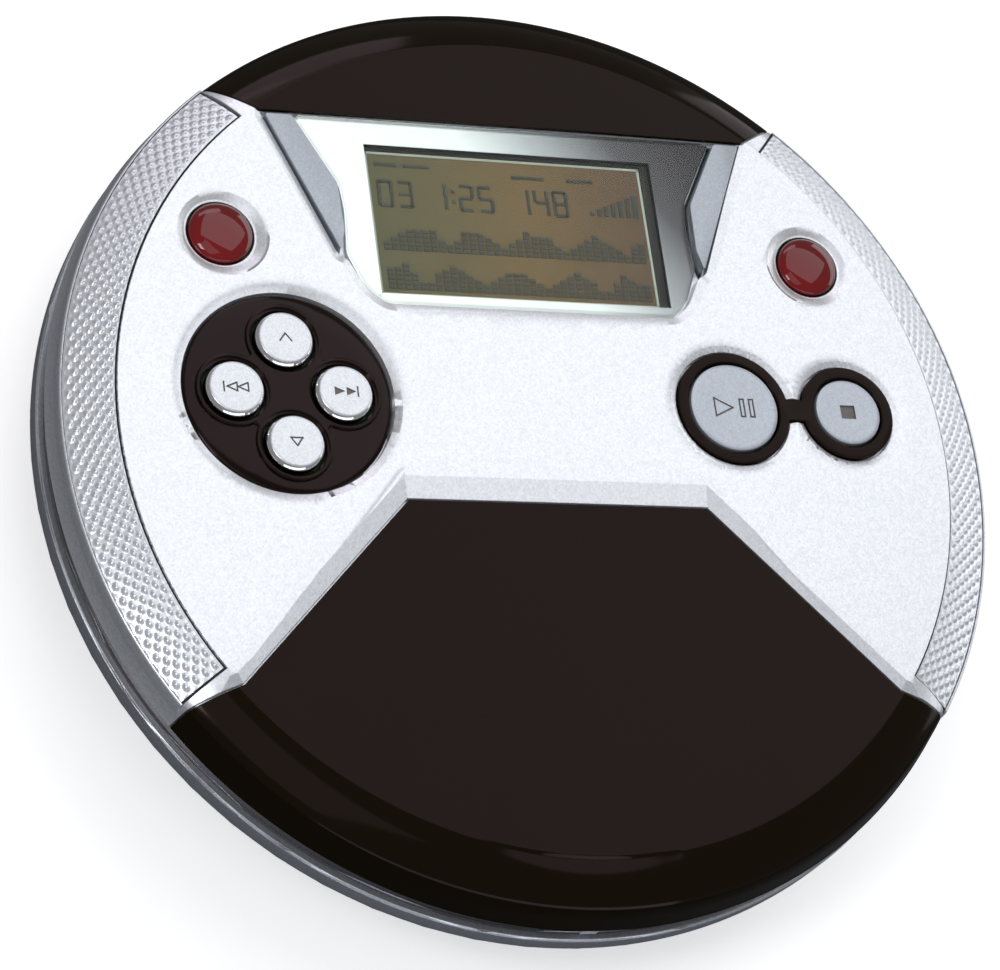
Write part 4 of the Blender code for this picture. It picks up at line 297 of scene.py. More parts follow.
def tidyNormals(obj):
    makeActive(obj)
    bpy.ops.object.mode_set(mode="EDIT")
    bpy.ops.mesh.select_all(action="SELECT")
    bpy.ops.mesh.remove_doubles(threshold=0.000001)
    bpy.ops.mesh.normals_make_consistent(inside=False)
    bpy.ops.object.mode_set(mode="OBJECT")


def turned(name, profile, steps=96, centre=(0, 0), closed=False):
    # a profile of (radius, height) in mm spun about an upright axis
    mesh = bpy.data.meshes.new(name)
    points = [((centre[0] + r) * mm, centre[1] * mm, z * mm) for r, z in profile]
    edges = [(at, at + 1) for at in range(len(points) - 1)]
    if closed:
        edges.append((len(points) - 1, 0))
    mesh.from_pydata(points, edges, [])
    return spun(linked(name, mesh), steps, math.tau, centre)


def spun(obj, steps, angle, centre=(0, 0)):
    # the object's own profile swept clockwise about an upright axis
    makeActive(obj)
    bpy.ops.object.mode_set(mode="EDIT")
    bpy.ops.mesh.select_all(action="SELECT")
    bpy.ops.mesh.spin(steps=steps, angle=angle, center=(centre[0] * mm, centre[1] * mm, 0), axis=(0, 0, 1))
    bpy.ops.object.mode_set(mode="OBJECT")
    tidyNormals(obj)
    return obj


def carve(obj, tool, operation="DIFFERENCE"):
    step = obj.modifiers.new("carve", "BOOLEAN")
    step.object = tool
    step.operation = operation
    step.solver = "EXACT"
    makeActive(obj)
    bpy.ops.object.modifier_apply(modifier=step.name)
    bpy.data.objects.remove(tool, do_unlink=True)


def softEdges(obj, width, segments=2, angle=30):
    step = obj.modifiers.new("edges", "BEVEL")
    step.width = width * mm
    step.segments = segments
    step.limit_method = "ANGLE"
    step.angle_limit = math.radians(angle)
    makeActive(obj)
    bpy.ops.object.modifier_apply(modifier=step.name)


def done(obj, body, slotName, paint, *nodes, angle=30):
    # last steps of a piece: smooth faces, its finish and the body that carries it
    makeActive(obj)
    bpy.ops.object.shade_smooth_by_angle(angle=math.radians(angle))
    if paint:
        obj.data.materials.clear()
        obj.data.materials.append(paint)
    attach(obj, body)
    if nodes:
        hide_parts(*nodes)
    return obj


def polar(radius, degrees):
    angle = math.radians(degrees)
    return radius * math.cos(angle), radius * math.sin(angle)


def arc(cx, cy, radius, first, last, steps):
    points = []
    for step in range(steps + 1):
        dx, dy = polar(radius, first + (last - first) * step / steps)
        points.append((cx + dx, cy + dy))
    return points


def circle(centre, radius):
    return arc(*centre, radius, 0, 357, 119)


def oblong(x0, y0, x1, y1):
    return [(x0, y0), (x1, y0), (x1, y1), (x0, y1)]


def mirrored(points):
    return points + [(-x, y) for x, y in reversed(points)]


def grown(outline, amount):
    # every edge of an outline moved outward by one amount, corners mitred
    area = sum(a[0] * b[1] - b[0] * a[1] for a, b in zip(outline, outline[1:] + outline[:1]))
    side = math.copysign(amount, area) if amount > 0 else -math.copysign(-amount, area)
    moved = []
    for at, point in enumerate(outline):
        before = Vector(point) - Vector(outline[at - 1])
        after = Vector(outline[(at + 1) % len(outline)]) - Vector(point)
        first = Vector((before.y, -before.x)).normalized()
        second = Vector((after.y, -after.x)).normalized()
        middle = (first + second).normalized()
        spot = Vector(point) + middle * side / max(middle.dot(first), 0.35)
        moved.append((spot.x, spot.y))
    return moved


def rounded(outline, radius, steps=5):
    # outline with each corner turned into a small arc
    points = []
    count = len(outline)
    for at, corner in enumerate(outline):
        corner = Vector(corner)
        before = Vector(outline[at - 1]) - corner
        after = Vector(outline[(at + 1) % count]) - corner
        reach = min(radius, before.length * 0.45, after.length * 0.45)
        first = corner + before.normalized() * reach
        last = corner + after.normalized() * reach
        for step in range(steps + 1):
            share = step / steps
            spot = first * (1 - share) ** 2 + corner * 2 * share * (1 - share) + last * share**2
            points.append((spot.x, spot.y))
    return points


print("stage: lid skin")

lid = {
    "top": 28.0,
    "drop": 0.7,
    "crest": 59.2,
    "bend": 65.65,  # the slope ends and the wall begins
    "wall": 65,
    "bottom": 19.5,
    "steps": 240,
    "slope": [
        (59.5, 27.24), (60.0, 27.10), (60.8, 26.88), (61.6, 26.63), (62.4, 26.33), (63.2, 25.95), (64.0, 25.52),
        (64.6, 25.16), (65.0, 24.90), (65.25, 24.70), (65.45, 24.50), (65.62, 24.28), (65.76, 24.02),
        (65.88, 23.72), (66.03, 23.30), (66.18, 22.80), (66.31, 22.20), (66.44, 21.55), (66.80, 19.75),
        (66.90, 19.56), (66.84, 19.50),
    ],
    "panelThick": 0.6,
    "panelSeat": 0.2,
    "frontSink": 0.6,
    "rearSink": 0.1,
}


def domeZ(x, y):
    return lid["top"] - lid["drop"] * (x * x + y * y) / lid["crest"] ** 2


def skinLine(sink=0.0, inset=0.0):
    # the lid's outer line, lowered by sink on its roof and moved inward by inset all over
    radii = [lid["crest"] * step / 20 for step in range(21)]
    line = [(r, domeZ(r, 0) - sink - inset) for r in radii]
    for r, z in lid["slope"]:
        share = max(0.0, min(1.0, (lid["bend"] - r) / (lid["bend"] - lid["crest"])))
        inward = inset * (1 - share) if r > lid["wall"] else inset * 0.4
        line.append((r - inward, z - sink * share - inset * min(1.0, share * 1.6)))
    return line


frontCorners = [(21.3, -10.7), (46.0, -36.4), (64.0, -43.4), (64.0, -69.0)]
rearCorners = [(50.0, 69.0), (50.0, 55.7), (35.9, 46.4)]
windowCorners = [(30.8, 46.0), (25.4, 35.9), (25.0, 32.0), (25.4, 25.5), (23.3, 20.4), (20.8, 18.2)]
wellCorners = [(35.6, 46.4), (26.95, 24.9), (25.7, 24.3), (23.5, 19.9), (20.95, 17.8)]
longKeyCorners = [(35.2, 45.8), (31.3, 45.8), (25.95, 35.5), (25.75, 28.4), (26.6, 25.3)]

frontOutline = mirrored(frontCorners)
rearOutline = mirrored(rearCorners)
windowOutline = mirrored(windowCorners)
wellOutline = mirrored(wellCorners)


def coverSlab(name, sink, extraRings=()):
    # the whole skin as a slab of the panel's thickness
    outer = skinLine(sink)
    for radius in extraRings:
        at = next(i for i, point in enumerate(outer) if point[0] > radius)
        (r0, z0), (r1, z1) = outer[at - 1], outer[at]
        outer.insert(at, (radius, z0 + (z1 - z0) * (radius - r0) / (r1 - r0)))
    return turned(name, outer + skinLine(sink, lid["panelThick"])[::-1], lid["steps"])


def seatTool(name, sink, outline):
    inner = skinLine(sink, lid["panelThick"] + lid["panelSeat"])
    line = inner + [(inner[-1][0], 18.0), (69.0, 18.0), (69.0, 30.0), (0.0, 30.0)]
    tool = turned(name, line, lid["steps"])
    carve(tool, outlinePlate("bounds", outline, 17.0, 31.0), "INTERSECT")
    return tool


print("stage: lid shell")

pad = {
    "centre": (-36.0, 4.2),
    "radius": 14.24,
    "reach": 7.45,
    "keyTop": 28.2,
    "collar": 5.25,
}
rings = {
    "play": (27.7, 4.4),
    "stop": (45.0, 4.4),
    "playRadius": 8.3,
    "stopRadius": 6.9,
    "bridge": 1.55,
    "top": 27.72,
}
domes = {"x": 43.0, "y": 27.2}


def bridgeOutline(amount, steps=48):
    first = math.degrees(math.asin((rings["bridge"] + amount) / (rings["playRadius"] + amount)))
    second = math.degrees(math.asin((rings["bridge"] + amount) / (rings["stopRadius"] + amount)))
    points = arc(*rings["play"], rings["playRadius"] + amount, first, 360 - first, steps)
    return points + arc(*rings["stop"], rings["stopRadius"] + amount, second - 180, 180 - second, steps)


underside = [(65.4, lid["bottom"]), (64.6, 22.6), (62.5, 24.0), (60.5, 25.0), (0.0, 25.0)]
lidLine = skinLine() + underside
lidShell = turned("silverLid", lidLine, lid["steps"])
carve(lidShell, seatTool("frontSeat", lid["frontSink"], grown(frontOutline, 0.25)))
carve(lidShell, seatTool("rearSeat", lid["rearSink"], grown(rearOutline, 0.25)))

# wide slope between the silver and the front panel, rounded at its two upper corners
bevel = {
    # how far each corner's upper edge stands out, right half then left half
    "reach": [(0.2, 3.5), (0.9, 1.3), (0.25, 0.4), (0, 0), (0, 0), (-0.25, 0.4), (-0.9, 1.3), (-0.2, 3.5)],
    "softDepth": 0.26,  # a second, flatter cut rounds the upper edge
    "softRun": 6.6,
    "softWidth": 1.3,
}
edgeLow = grown(frontOutline, 0.25)


def bevelHigh(past):
    return [(x + dx * past, y + dy * past) for (x, y), (dx, dy) in zip(edgeLow, bevel["reach"])]


lows = [domeZ(x, y) - lid["frontSink"] - 0.02 for x, y in edgeLow]
highs = [domeZ(x, y) + 1.0 for x, y in edgeLow]
carve(lidShell, outlinePlate("slopeTool", edgeLow, lows, highs, bevelHigh(1 + 1.0 / lid["frontSink"])))
lows = [domeZ(x, y) - bevel["softDepth"] for x, y in edgeLow]
highs = [z + bevel["softDepth"] * bevel["softRun"] / bevel["softWidth"] for z in lows]
carve(lidShell, outlinePlate("slopeSoft", edgeLow, lows, highs, bevelHigh(bevel["softRun"])))

grips = {
    "inner": 59.5, "outer": 65.72, "rear": 49.3, "front": -35.2,  # mm, and degrees from the right
    "row": 1.0, "cell": 0.71, "height": 0.34, "fine": 4, "slack": 0.34, "swell": 0.62, "sink": 0.22,
}
slope = {"top": 27.3, "from": 59.2, "fall": 2.7, "run": 6.4}


def gripSector(name, line, first, last, steps):
    mesh = bpy.data.meshes.new(name)
    start = math.radians(last)  # spin turns clockwise
    points = [(r * mm * math.cos(start), r * mm * math.sin(start), z * mm) for r, z in line]
    mesh.from_pydata(points, [], [list(range(len(points)))])
    return spun(linked(name, mesh), steps, math.radians(last - first))


def slopeZ(radius):
    return slope["top"] - (radius - slope["from"]) * slope["fall"] / slope["run"]


gripSpans = {"Right": (grips["front"], grips["rear"]), "Left": (180 - grips["rear"], 180 - grips["front"])}
for first, last in gripSpans.values():
    line = [(59.2, slopeZ(59.2) - 1.3), (66.5, slopeZ(66.5) - 1.3), (66.5, 30.0), (59.2, 30.0)]
    carve(lidShell, gripSector("gripSeat", line, first - grips["slack"], last + grips["slack"], 84))

# wells with flared edges for the window, the pad, the rings and the domed keys
def flare(outline, outer, depth):
    # sloping edge from an outline at one depth up to a wider outline at the lid's own height
    past = 1 + 0.35 / depth
    high = [(x + (u - x) * past, y + (v - y) * past) for (x, y), (u, v) in zip(outline, outer)]
    lows = [domeZ(x, y) - depth for x, y in outline]
    carve(lidShell, outlinePlate("flareTool", outline, lows, [z + depth * past for z in lows], high))


wellLow = rounded(wellOutline, 1.2)
flare(wellLow, grown(wellLow, 1.25), 0.45)
carve(lidShell, outlinePlate("wellTool", wellLow, 25.7, 29.0))
carve(lidShell, outlinePlate("lcdHole", oblong(-21.4, 19.5, 21.4, 42.7), 24.0, 29.0))
for side in (1, -1):
    corners = [(side * x, y) for x, y in longKeyCorners]
    carve(lidShell, outlinePlate("keyHole", grown(corners, 0.28), 24.0, 27.0))

padFloor = 25.7
padEdge = circle(pad["centre"], 14.5)
flare(padEdge, circle(pad["centre"], 15.9), 0.62)
flare(padEdge, circle(pad["centre"], 16.5), 0.36)
carve(lidShell, turned("padWell", [(0, padFloor), (14.5, padFloor), (14.5, 29), (0, 29)], 120, pad["centre"]))
carve(lidShell, turned("padHole", [(0, 24.0), (12.6, 24.0), (12.6, 26.0), (0, 26.0)], 96, pad["centre"]))
for centre, radius in ((rings["play"], rings["playRadius"]), (rings["stop"], rings["stopRadius"])):
    edge = circle(centre, radius + 0.25)
    flare(edge, circle(centre, radius + 1.45), 0.5)
    flare(edge, circle(centre, radius + 2.05), 0.28)
carve(lidShell, outlinePlate("ringWell", bridgeOutline(0.25), 25.7, 28.6))
carve(lidShell, turned("playHole", [(0, 24.0), (7.4, 24.0), (7.4, 26.0), (0, 26.0)], 64, rings["play"]))
carve(lidShell, turned("stopHole", [(0, 24.0), (5.8, 24.0), (5.8, 26.0), (0, 26.0)], 64, rings["stop"]))
for side in (1, -1):
    rim = domeZ(domes["x"], domes["y"])
    dish = [(0, 24.0), (5.6, 24.0), (5.6, 25.95), (4.72, 25.95), (4.72, rim - 0.62), (5.0, rim - 0.56)]
    dish += [(5.5, rim - 0.34), (6.1, rim - 0.06), (6.6, rim + 0.1), (6.6, 29), (0, 29)]
    carve(lidShell, turned("domeWell", dish, 72, (side * domes["x"], domes["y"])))

# room for the hinge at the rear, then its knuckles and the boss over the lid switch
hingeRoom = oblong(-17, 61.9, 17, 69)
carve(lidShell, outlinePlate("hingeRoom", hingeRoom, 18.5, 20.6))


def mergedCopy(node, name):
    # the solid's own mesh with its loose triangles joined
    copy = bpy.data.objects[node].copy()
    copy.data = copy.data.copy()
    copy.name = name
    copy.parent = None
    copy.matrix_world = bpy.data.objects[node].matrix_world.copy()
    for key in list(copy.keys()):
        del copy[key]
    bpy.context.scene.collection.objects.link(copy)
    tidyNormals(copy)
    return copy


bossX, bossY = polar(63.6, 230)
bossHalf = 1.7
rooms = [
    (oblong(2.9, 61.9, 9.1, 66.2), 16.0, 23.0),
    (oblong(-2.9, 61.9, -9.1, 66.2), 16.0, 23.0),
    (oblong(bossX - bossHalf, bossY - bossHalf, bossX + bossHalf, bossY + bossHalf), 19.6, 23.4),
]
for corners, low, high in rooms:
    extra = mergedCopy("lid_shell", "extra")
    carve(extra, outlinePlate("bounds", corners, low, high), "INTERSECT")
    carve(lidShell, extra, "UNION")
done(lidShell, "lid", "lid_silver", lidSilver, "lid_shell", angle=12)

print("stage: covers")

scoop = {"centre": -93.0, "half": 12.5, "depth": 0.42, "lip": 59.22, "wall": 0.36, "fade": 64.6}
frontCover = coverSlab("frontCover", lid["frontSink"], [59.3, 59.4, 59.58, 59.8, 60.3])
# thumb scoop just below the crest at the front: a steep upper lip that fades out towards the rim
for vertex in frontCover.data.vertices:
    radius = math.hypot(vertex.co.x, vertex.co.y) / mm
    angle = math.degrees(math.atan2(vertex.co.y, vertex.co.x))
    away = abs(angle - scoop["centre"]) / scoop["half"]
    if away < 1 and scoop["lip"] < radius < scoop["fade"] and vertex.co.z > 22.5 * mm:
        steep = min(1.0, (radius - scoop["lip"]) / scoop["wall"])
        fade = (scoop["fade"] - radius) / (scoop["fade"] - scoop["lip"])
        vertex.co.z -= scoop["depth"] * (1 - away**2) * fade * steep * mm
carve(frontCover, outlinePlate("frontBounds", frontOutline, 17.0, 31.0), "INTERSECT")
done(frontCover, "lid", "panel_gloss", panelGloss, "front_panel", angle=9)

rearCover = coverSlab("rearCover", lid["rearSink"])
carve(rearCover, outlinePlate("rearBounds", rearOutline, 17.0, 31.0), "INTERSECT")
carve(rearCover, outlinePlate("rearRoom", hingeRoom, 18.5, 20.6))
done(rearCover, "lid", "panel_gloss", panelGloss, "rear_panel", angle=9)

print("stage: grips")


def meshObject(name, mesh):
    data = bpy.data.meshes.new(name)
    mesh.to_mesh(data)
    mesh.free()
    return linked(name, data)


def studdedGrip(name, first, last):
    # closed strip whose upper face carries staggered rounded studs
    fine = grips["fine"]
    rows = round(math.radians(last - first) * 62.5 / grips["row"]) * fine
    columns = round((grips["outer"] - grips["inner"]) / grips["cell"]) * fine
    mesh = bmesh.new()
    grid, low = [], []
    for i in range(rows + 1):
        angle = math.radians(first + (last - first) * i / rows)
        line = []
        for j in range(columns + 1):
            share = j / columns
            radius = grips["inner"] + (grips["outer"] - grips["inner"]) * share
            # two crossed waves: a stud stands where both have the same sign
            wave = math.cos(math.pi * i / fine) * math.cos(math.pi * j / fine)
            edge = min(1.0, i / 3, (rows - i) / 3, j / 3, (columns - j) / 3)
            z = slopeZ(radius) + grips["swell"] * share * (1 - share) - grips["sink"]
            z = z + grips["height"] * max(0.0, wave) ** 0.6 * edge
            line.append(mesh.verts.new((radius * mm * math.cos(angle), radius * mm * math.sin(angle), z * mm)))
        grid.append(line)
        ends = []
        for radius in (grips["inner"], grips["outer"]):
            z = slopeZ(radius) - 0.42
            ends.append(mesh.verts.new((radius * mm * math.cos(angle), radius * mm * math.sin(angle), z * mm)))
        low.append(ends)
    for i in range(rows):
        for j in range(columns):
            mesh.faces.new([grid[i][j], grid[i][j + 1], grid[i + 1][j + 1], grid[i + 1][j]])
        mesh.faces.new([low[i][0], low[i][1], low[i + 1][1], low[i + 1][0]])
        mesh.faces.new([grid[i][0], grid[i + 1][0], low[i + 1][0], low[i][0]])
        mesh.faces.new([grid[i][-1], low[i][1], low[i + 1][1], grid[i + 1][-1]])
    for i in (0, -1):
        mesh.faces.new(grid[i] + [low[i][1], low[i][0]])
    bmesh.ops.recalc_face_normals(mesh, faces=mesh.faces)
    return meshObject(name, mesh)


# black sheet of painted shade in the gap under each strip, and the thin silver lip along its outer edge
seatTop, seatLow = 0.44, 1.28
gripShade = [(59.22, seatLow), (66.0, seatLow), (66.0, seatTop), (59.22, seatTop)]
gripLip = [
    (65.86, 23.1), (65.82, 24.42), (65.9, 24.5), (66.02, 24.46), (66.14, 24.28),
    (66.22, 23.9), (66.3, 22.9), (66.32, 22.3), (66.1, 22.3), (66.05, 23.0),
]
for side, (first, last) in gripSpans.items():
    strip = studdedGrip("gripStrip" + side, first, last)
    done(strip, "lid", "grip_silver", gripSilver, "grip_" + side.lower(), angle=60)
    slack = grips["slack"] - 0.02
    shadeLine = [(r, slopeZ(r) - under) for r, under in gripShade]
    shade = gripSector("gripShade" + side, shadeLine, first - slack, last + slack, 84)
    done(shade, "lid", "black_plastic", paintedShadeBlack)
    lip = gripSector("gripLip" + side, gripLip, first - slack, last + slack, 168)
    done(lip, "lid", "lid_silver", lidSilver, angle=40)

print("stage: pad and keys")


def strokeTool(name, points, width, bottom, top):
    # one straight stroke of an icon
    a, b = Vector(points[0]), Vector(points[1])
    along = (b - a).normalized()
    side = Vector((-along.y, along.x)) * width / 2
    tail, head = a - along * width / 2, b + along * width / 2
    ends = [tail - side, head - side, head + side, tail + side]
    return outlinePlate(name, [(p.x, p.y) for p in ends], bottom, top)


def inlay(obj, tool):
    # a recess whose faces take the second finish, a darker grey painted as the groove's shade
    tool.data.materials.append(keySilver)
    tool.data.materials.append(iconPaintedShade)
    for face in tool.data.polygons:
        face.material_index = 1
    carve(obj, tool)


def engrave(obj, centre, strokes, width, top, depth=0.14, skirt=None, face=None):
    # face and icon finishes, and a plated skirt below the height given
    for paint in (face or keySilver, iconPaintedShade, chromeRing):
        obj.data.materials.append(paint)
    for side in obj.data.polygons:
        if skirt and side.center.z < skirt * mm:
            side.material_index = 2
    for points in strokes:
        moved = [(centre[0] + x, centre[1] + y) for x, y in points]
        if len(points) == 2:
            inlay(obj, strokeTool("stroke", moved, width, top - depth, top + 1))
        else:
            inlay(obj, outlinePlate("filled", moved, top - depth, top + 1))


def closedStrokes(points):
    return list(zip(points, points[1:] + points[:1]))


def padSpot(degrees):
    dx, dy = polar(pad["reach"], degrees)
    return pad["centre"][0] + dx, pad["centre"][1] + dy


padLine = [(0, 26.0), (14.2, 26.0), (pad["radius"], 26.55), (14.1, 26.72), (13.7, 26.86)]
padLine += [(11.0, 27.12), (0.0, 27.25)]
padPlate = turned("padPlate", padLine, 120, pad["centre"])
lobes = []
for degrees in (0, 90, 180, 270):
    lobes += arc(*padSpot(degrees), pad["collar"], degrees - 116, degrees + 116, 24)
collar = outlinePlate("collar", lobes, 26.4, 27.55)
softEdges(collar, 0.22, 2)
carve(padPlate, collar, "UNION")
for degrees in (0, 90, 180, 270):
    wellLine = [(0, 25.0), (4.35, 25.0), (4.35, 27.2), (4.85, 27.62), (0, 27.62)]
    carve(padPlate, turned("keyWell", wellLine, 48, padSpot(degrees)))
done(padPlate, "lid", "panel_gloss", discGloss, "dpad_bezel", angle=25)

skipLeft = closedStrokes([(0.1, 0.6), (-1.25, 0.0), (0.1, -0.6)])
skipLeft += closedStrokes([(1.6, 0.6), (0.25, 0.0), (1.6, -0.6)])
skipRight = [[(1.45, 0.0), (0.15, 0.62), (0.15, -0.62)], [(-0.05, 0.0), (-1.5, 0.62), (-1.5, -0.62)]]
icons = {
    "up_key": (90, [((-0.8, -0.45), (0.0, 0.6)), ((0.0, 0.6), (0.8, -0.45))]),
    "down_key": (270, closedStrokes([(-0.8, 0.5), (0.8, 0.5), (0.0, -0.65)])),
    "previous_key": (180, [((-1.7, -0.65), (-1.7, 0.65))] + skipLeft),
    "next_key": (0, [((1.7, -0.65), (1.7, 0.65))] + skipRight),
}
top = pad["keyTop"]
capLine = [(0, 25.4), (4.0, 25.4), (4.05, 27.5), (3.98, 27.72)]
capLine += [(3.62, top - 0.1), (3.5, top - 0.02), (3.3, top), (0, top)]
for node, (degrees, strokes) in icons.items():
    cap = turned(node.replace("_key", "Cap"), capLine, 64, padSpot(degrees))
    engrave(cap, padSpot(degrees), strokes, 0.2, top, skirt=top - 0.16)
    done(cap, node + "_body", "key_silver", None, node, angle=35)

# both big keys are slightly hollow on top
playTop = 27.85
playLine = [(0, 25.4), (6.5, 25.4), (6.52, 27.45), (6.4, 27.75), (6.1, playTop), (5.7, playTop)]
playLine += [(4.5, playTop - 0.08), (2.5, playTop - 0.14), (0, playTop - 0.16)]
playCap = turned("playCap", playLine, 96, rings["play"])
playStrokes = closedStrokes([(-2.9, 1.35), (-2.9, -1.35), (-0.2, 0.0)])
for left in (0.9, 2.3):
    right = left + 0.6
    playStrokes += closedStrokes([(left, 1.3), (right, 1.3), (right, -1.3), (left, -1.3)])
engrave(playCap, rings["play"], playStrokes, 0.22, playTop - 0.08, 0.2, None, playSilver)
done(playCap, "play_pause_key_body", "key_silver", None, "play_pause_key", angle=35)

stopLine = [(0, 25.4), (4.9, 25.4), (4.92, 27.45), (4.8, 27.75), (4.5, playTop), (4.2, playTop)]
stopLine += [(3.0, playTop - 0.06), (0, playTop - 0.1)]
stopCap = turned("stopCap", stopLine, 80, rings["stop"])
engrave(stopCap, rings["stop"], [oblong(-1.1, -1.0, 1.1, 1.0)], 0, playTop - 0.1, 0.25, None, playSilver)
done(stopCap, "stop_key_body", "key_silver", None, "stop_key", angle=35)

ringPlate = outlinePlate("ringPlate", bridgeOutline(0.0), 26.0, rings["top"])
for name, radius, steps in (("play", 6.8, 96), ("stop", 5.2, 80)):
    boreLine = [(0, 25), (radius, 25), (radius, 27.6), (radius + 0.3, 28.2), (0, 28.2)]
    carve(ringPlate, turned(name + "Bore", boreLine, steps, rings[name]))
softEdges(ringPlate, 0.35, 3)
done(ringPlate, "lid", "panel_gloss", panelGloss, "play_stop_bezel", angle=35)

print("stage: domed keys")

# acrylic over a red carrier: deep red where it faces the view, turning dark brown towards its rim as painted shade
# on the dome's sides
acrylic = {"Roughness": 0.06, "Specular IOR Level": 0.3, "Coat Weight": 0.35, "Coat Roughness": 0.03}
redGlass, redTree, redShader, _ = newMaterial("redAcrylic", acrylic)
redFacing = addNode(redTree, "ShaderNodeLayerWeight", {"Blend": 0.45}).outputs["Facing"]
colourAlong(redTree, redShader, redFacing, [(0.0, toLinear("#7C1015")), (1.0, toLinear("#2C100A"))])

dome = {"radius": 4.42, "foot": 26.9, "rise": 1.45, "steps": 14}
domeLine = [(0, 25.4), (4.35, 25.4), (dome["radius"], dome["foot"])]
for step in range(1, dome["steps"] + 1):
    angle = math.pi / 2 * step / dome["steps"]
    radius = dome["radius"] * math.cos(angle) if step < dome["steps"] else 0.0
    domeLine.append((radius, dome["foot"] + dome["rise"] * math.sin(angle)))
for side, node in ((1, "right_dome_key"), (-1, "left_dome_key")):
    cap = turned(node.replace("_dome_key", "Dome"), domeLine, 72, (side * domes["x"], domes["y"]))
    done(cap, node + "_body", "dome_red", redGlass, node, angle=50)

print("stage: display")

lcd = {
    "plate": (-21.1, 19.8, 21.1, 42.4),
    "top": 25.5,
    "frameHole": (-21.15, 19.75, 21.15, 42.45),
    "well": (-21.35, 19.55, 21.35, 42.65),
    # painted shadow: a thin black sheet lies over the crystal's right and rear edges, between these two outlines
    "shadowSheetOpening": (-21.12, 19.78, 19.9, 41.9),
    "shadowSheetReach": (-21.12, 19.78, 21.15, 42.42),
    "crystalRoom": (-21.11, 19.79, 21.11, 42.41),
    "digit": (2.3, 4.2, 0.5),  # width, height and stroke
}

# liquid crystal over an amber glow: olive on the left, brown on the right
satin = {"Roughness": 0.25, "Specular IOR Level": 0.4}
amber, amberTree, amberShader, amberSpot = newMaterial("amberCrystal", satin)
amberSplit = addNode(amberTree, "ShaderNodeSeparateXYZ", None, {0: amberSpot})
amberSpan = {1: -0.021, 2: 0.021, 3: 0.0, 4: 1.0}
amberAcross = addNode(amberTree, "ShaderNodeMapRange", amberSpan, {0: amberSplit.outputs[0]})
amberStops = [(0.0, toLinear("#4A4519")), (0.55, toLinear("#664A10")), (1.0, toLinear("#4C2E0C"))]
colourAlong(amberTree, amberShader, amberAcross.outputs[0], amberStops)

crystal = outlinePlate("crystalPlate", oblong(*lcd["plate"]), 25.0, lcd["top"])
done(crystal, "lid", "lcd_amber", amber, "lcd_panel")

segmentInk = mouldedPlastic("segmentInk", "#23241A", 0.5)
frameWhite = mouldedPlastic("printedWhite", "#B9BDB4", 0.5)

digitShapes = {
    "0": "abcdef", "1": "bc", "2": "abged", "3": "abgcd", "4": "fgbc",
    "5": "afgcd", "6": "afgedc", "7": "abc", "8": "abcdefg", "9": "abcdfg",
}


def inkBars(name, bars, ink=segmentInk):
    # thin printed bars, each (x0, y0, x1, y1), just over the crystal
    mesh = bmesh.new()
    for bar in bars:
        low = [mesh.verts.new((x * mm, y * mm, (lcd["top"] + 0.01) * mm)) for x, y in oblong(*bar)]
        high = [mesh.verts.new((v.co.x, v.co.y, (lcd["top"] + 0.06) * mm)) for v in low]
        mesh.faces.new(high)
        mesh.faces.new(low[::-1])
        for at in range(4):
            mesh.faces.new([low[at], low[(at + 1) % 4], high[(at + 1) % 4], high[at]])
    return done(meshObject(name, mesh), "lid", "black_plastic", ink)


def digitBars(text, x, y, width, height, thick):
    bars = []
    for letter in text:
        if letter == ":":
            for level in (0.28, 0.66):
                bars.append((x + 0.1, y + height * level, x + 0.1 + thick, y + height * level + thick))
            x += thick * 2.2
            continue
        half = height / 2
        places = {
            "a": (x + thick * 0.6, y + height - thick, x + width - thick * 0.6, y + height),
            "g": (x + thick * 0.6, y + half - thick / 2, x + width - thick * 0.6, y + half + thick / 2),
            "d": (x + thick * 0.6, y, x + width - thick * 0.6, y + thick),
            "f": (x, y + half + thick * 0.2, x + thick, y + height - thick * 0.4),
            "e": (x, y + thick * 0.4, x + thick, y + half - thick * 0.2),
            "b": (x + width - thick, y + half + thick * 0.2, x + width, y + height - thick * 0.4),
            "c": (x + width - thick, y + thick * 0.4, x + width, y + half - thick * 0.2),
        }
        if letter in digitShapes:
            bars += [places[part] for part in digitShapes[letter]]
        x += width + thick * 1.1
    return bars


bars = []
for text, left in (("03", -19.6), ("1:25", -11.8), ("148", 0.4)):
    bars += digitBars(text, left, 33.4, *lcd["digit"])
random.seed(4)
# level meter made of dots in two bands
for band, base in enumerate((26.9, 21.0)):
    for column in range(34):
        height = 2 + int(5 * abs(math.sin(column * 0.41 + band * 1.3)) * (0.6 + 0.4 * random.random()))
        for row in range(min(7, height)):
            x = -19.6 + column * 1.14
            y = base + row * 0.68
            bars.append((x, y, x + 0.92, y + 0.52))
for column in range(7):
    bars.append((11.5 + column * 1.1, 34.0, 12.2 + column * 1.1, 34.6 + column * 0.5))
bars += [(-19.6, 39.7, -16.4, 40.2), (-15.4, 39.7, -11.6, 40.2)]
bars += [(0.4, 39.0, 5.2, 39.5), (8.6, 39.0, 12.4, 39.5)]
inkBars("segmentBars", bars)

# pale printed line round the crystal's edge
left, front, right, rear = -20.9, 20.0, 19.85, 41.85
lineWidth = 0.35
borderBars = [
    (left, front, right, front + lineWidth), (left, rear - lineWidth, right, rear),
    (left, front, left + lineWidth, rear), (right - lineWidth, front, right, rear),
]
inkBars("crystalBorder", borderBars, frameWhite)
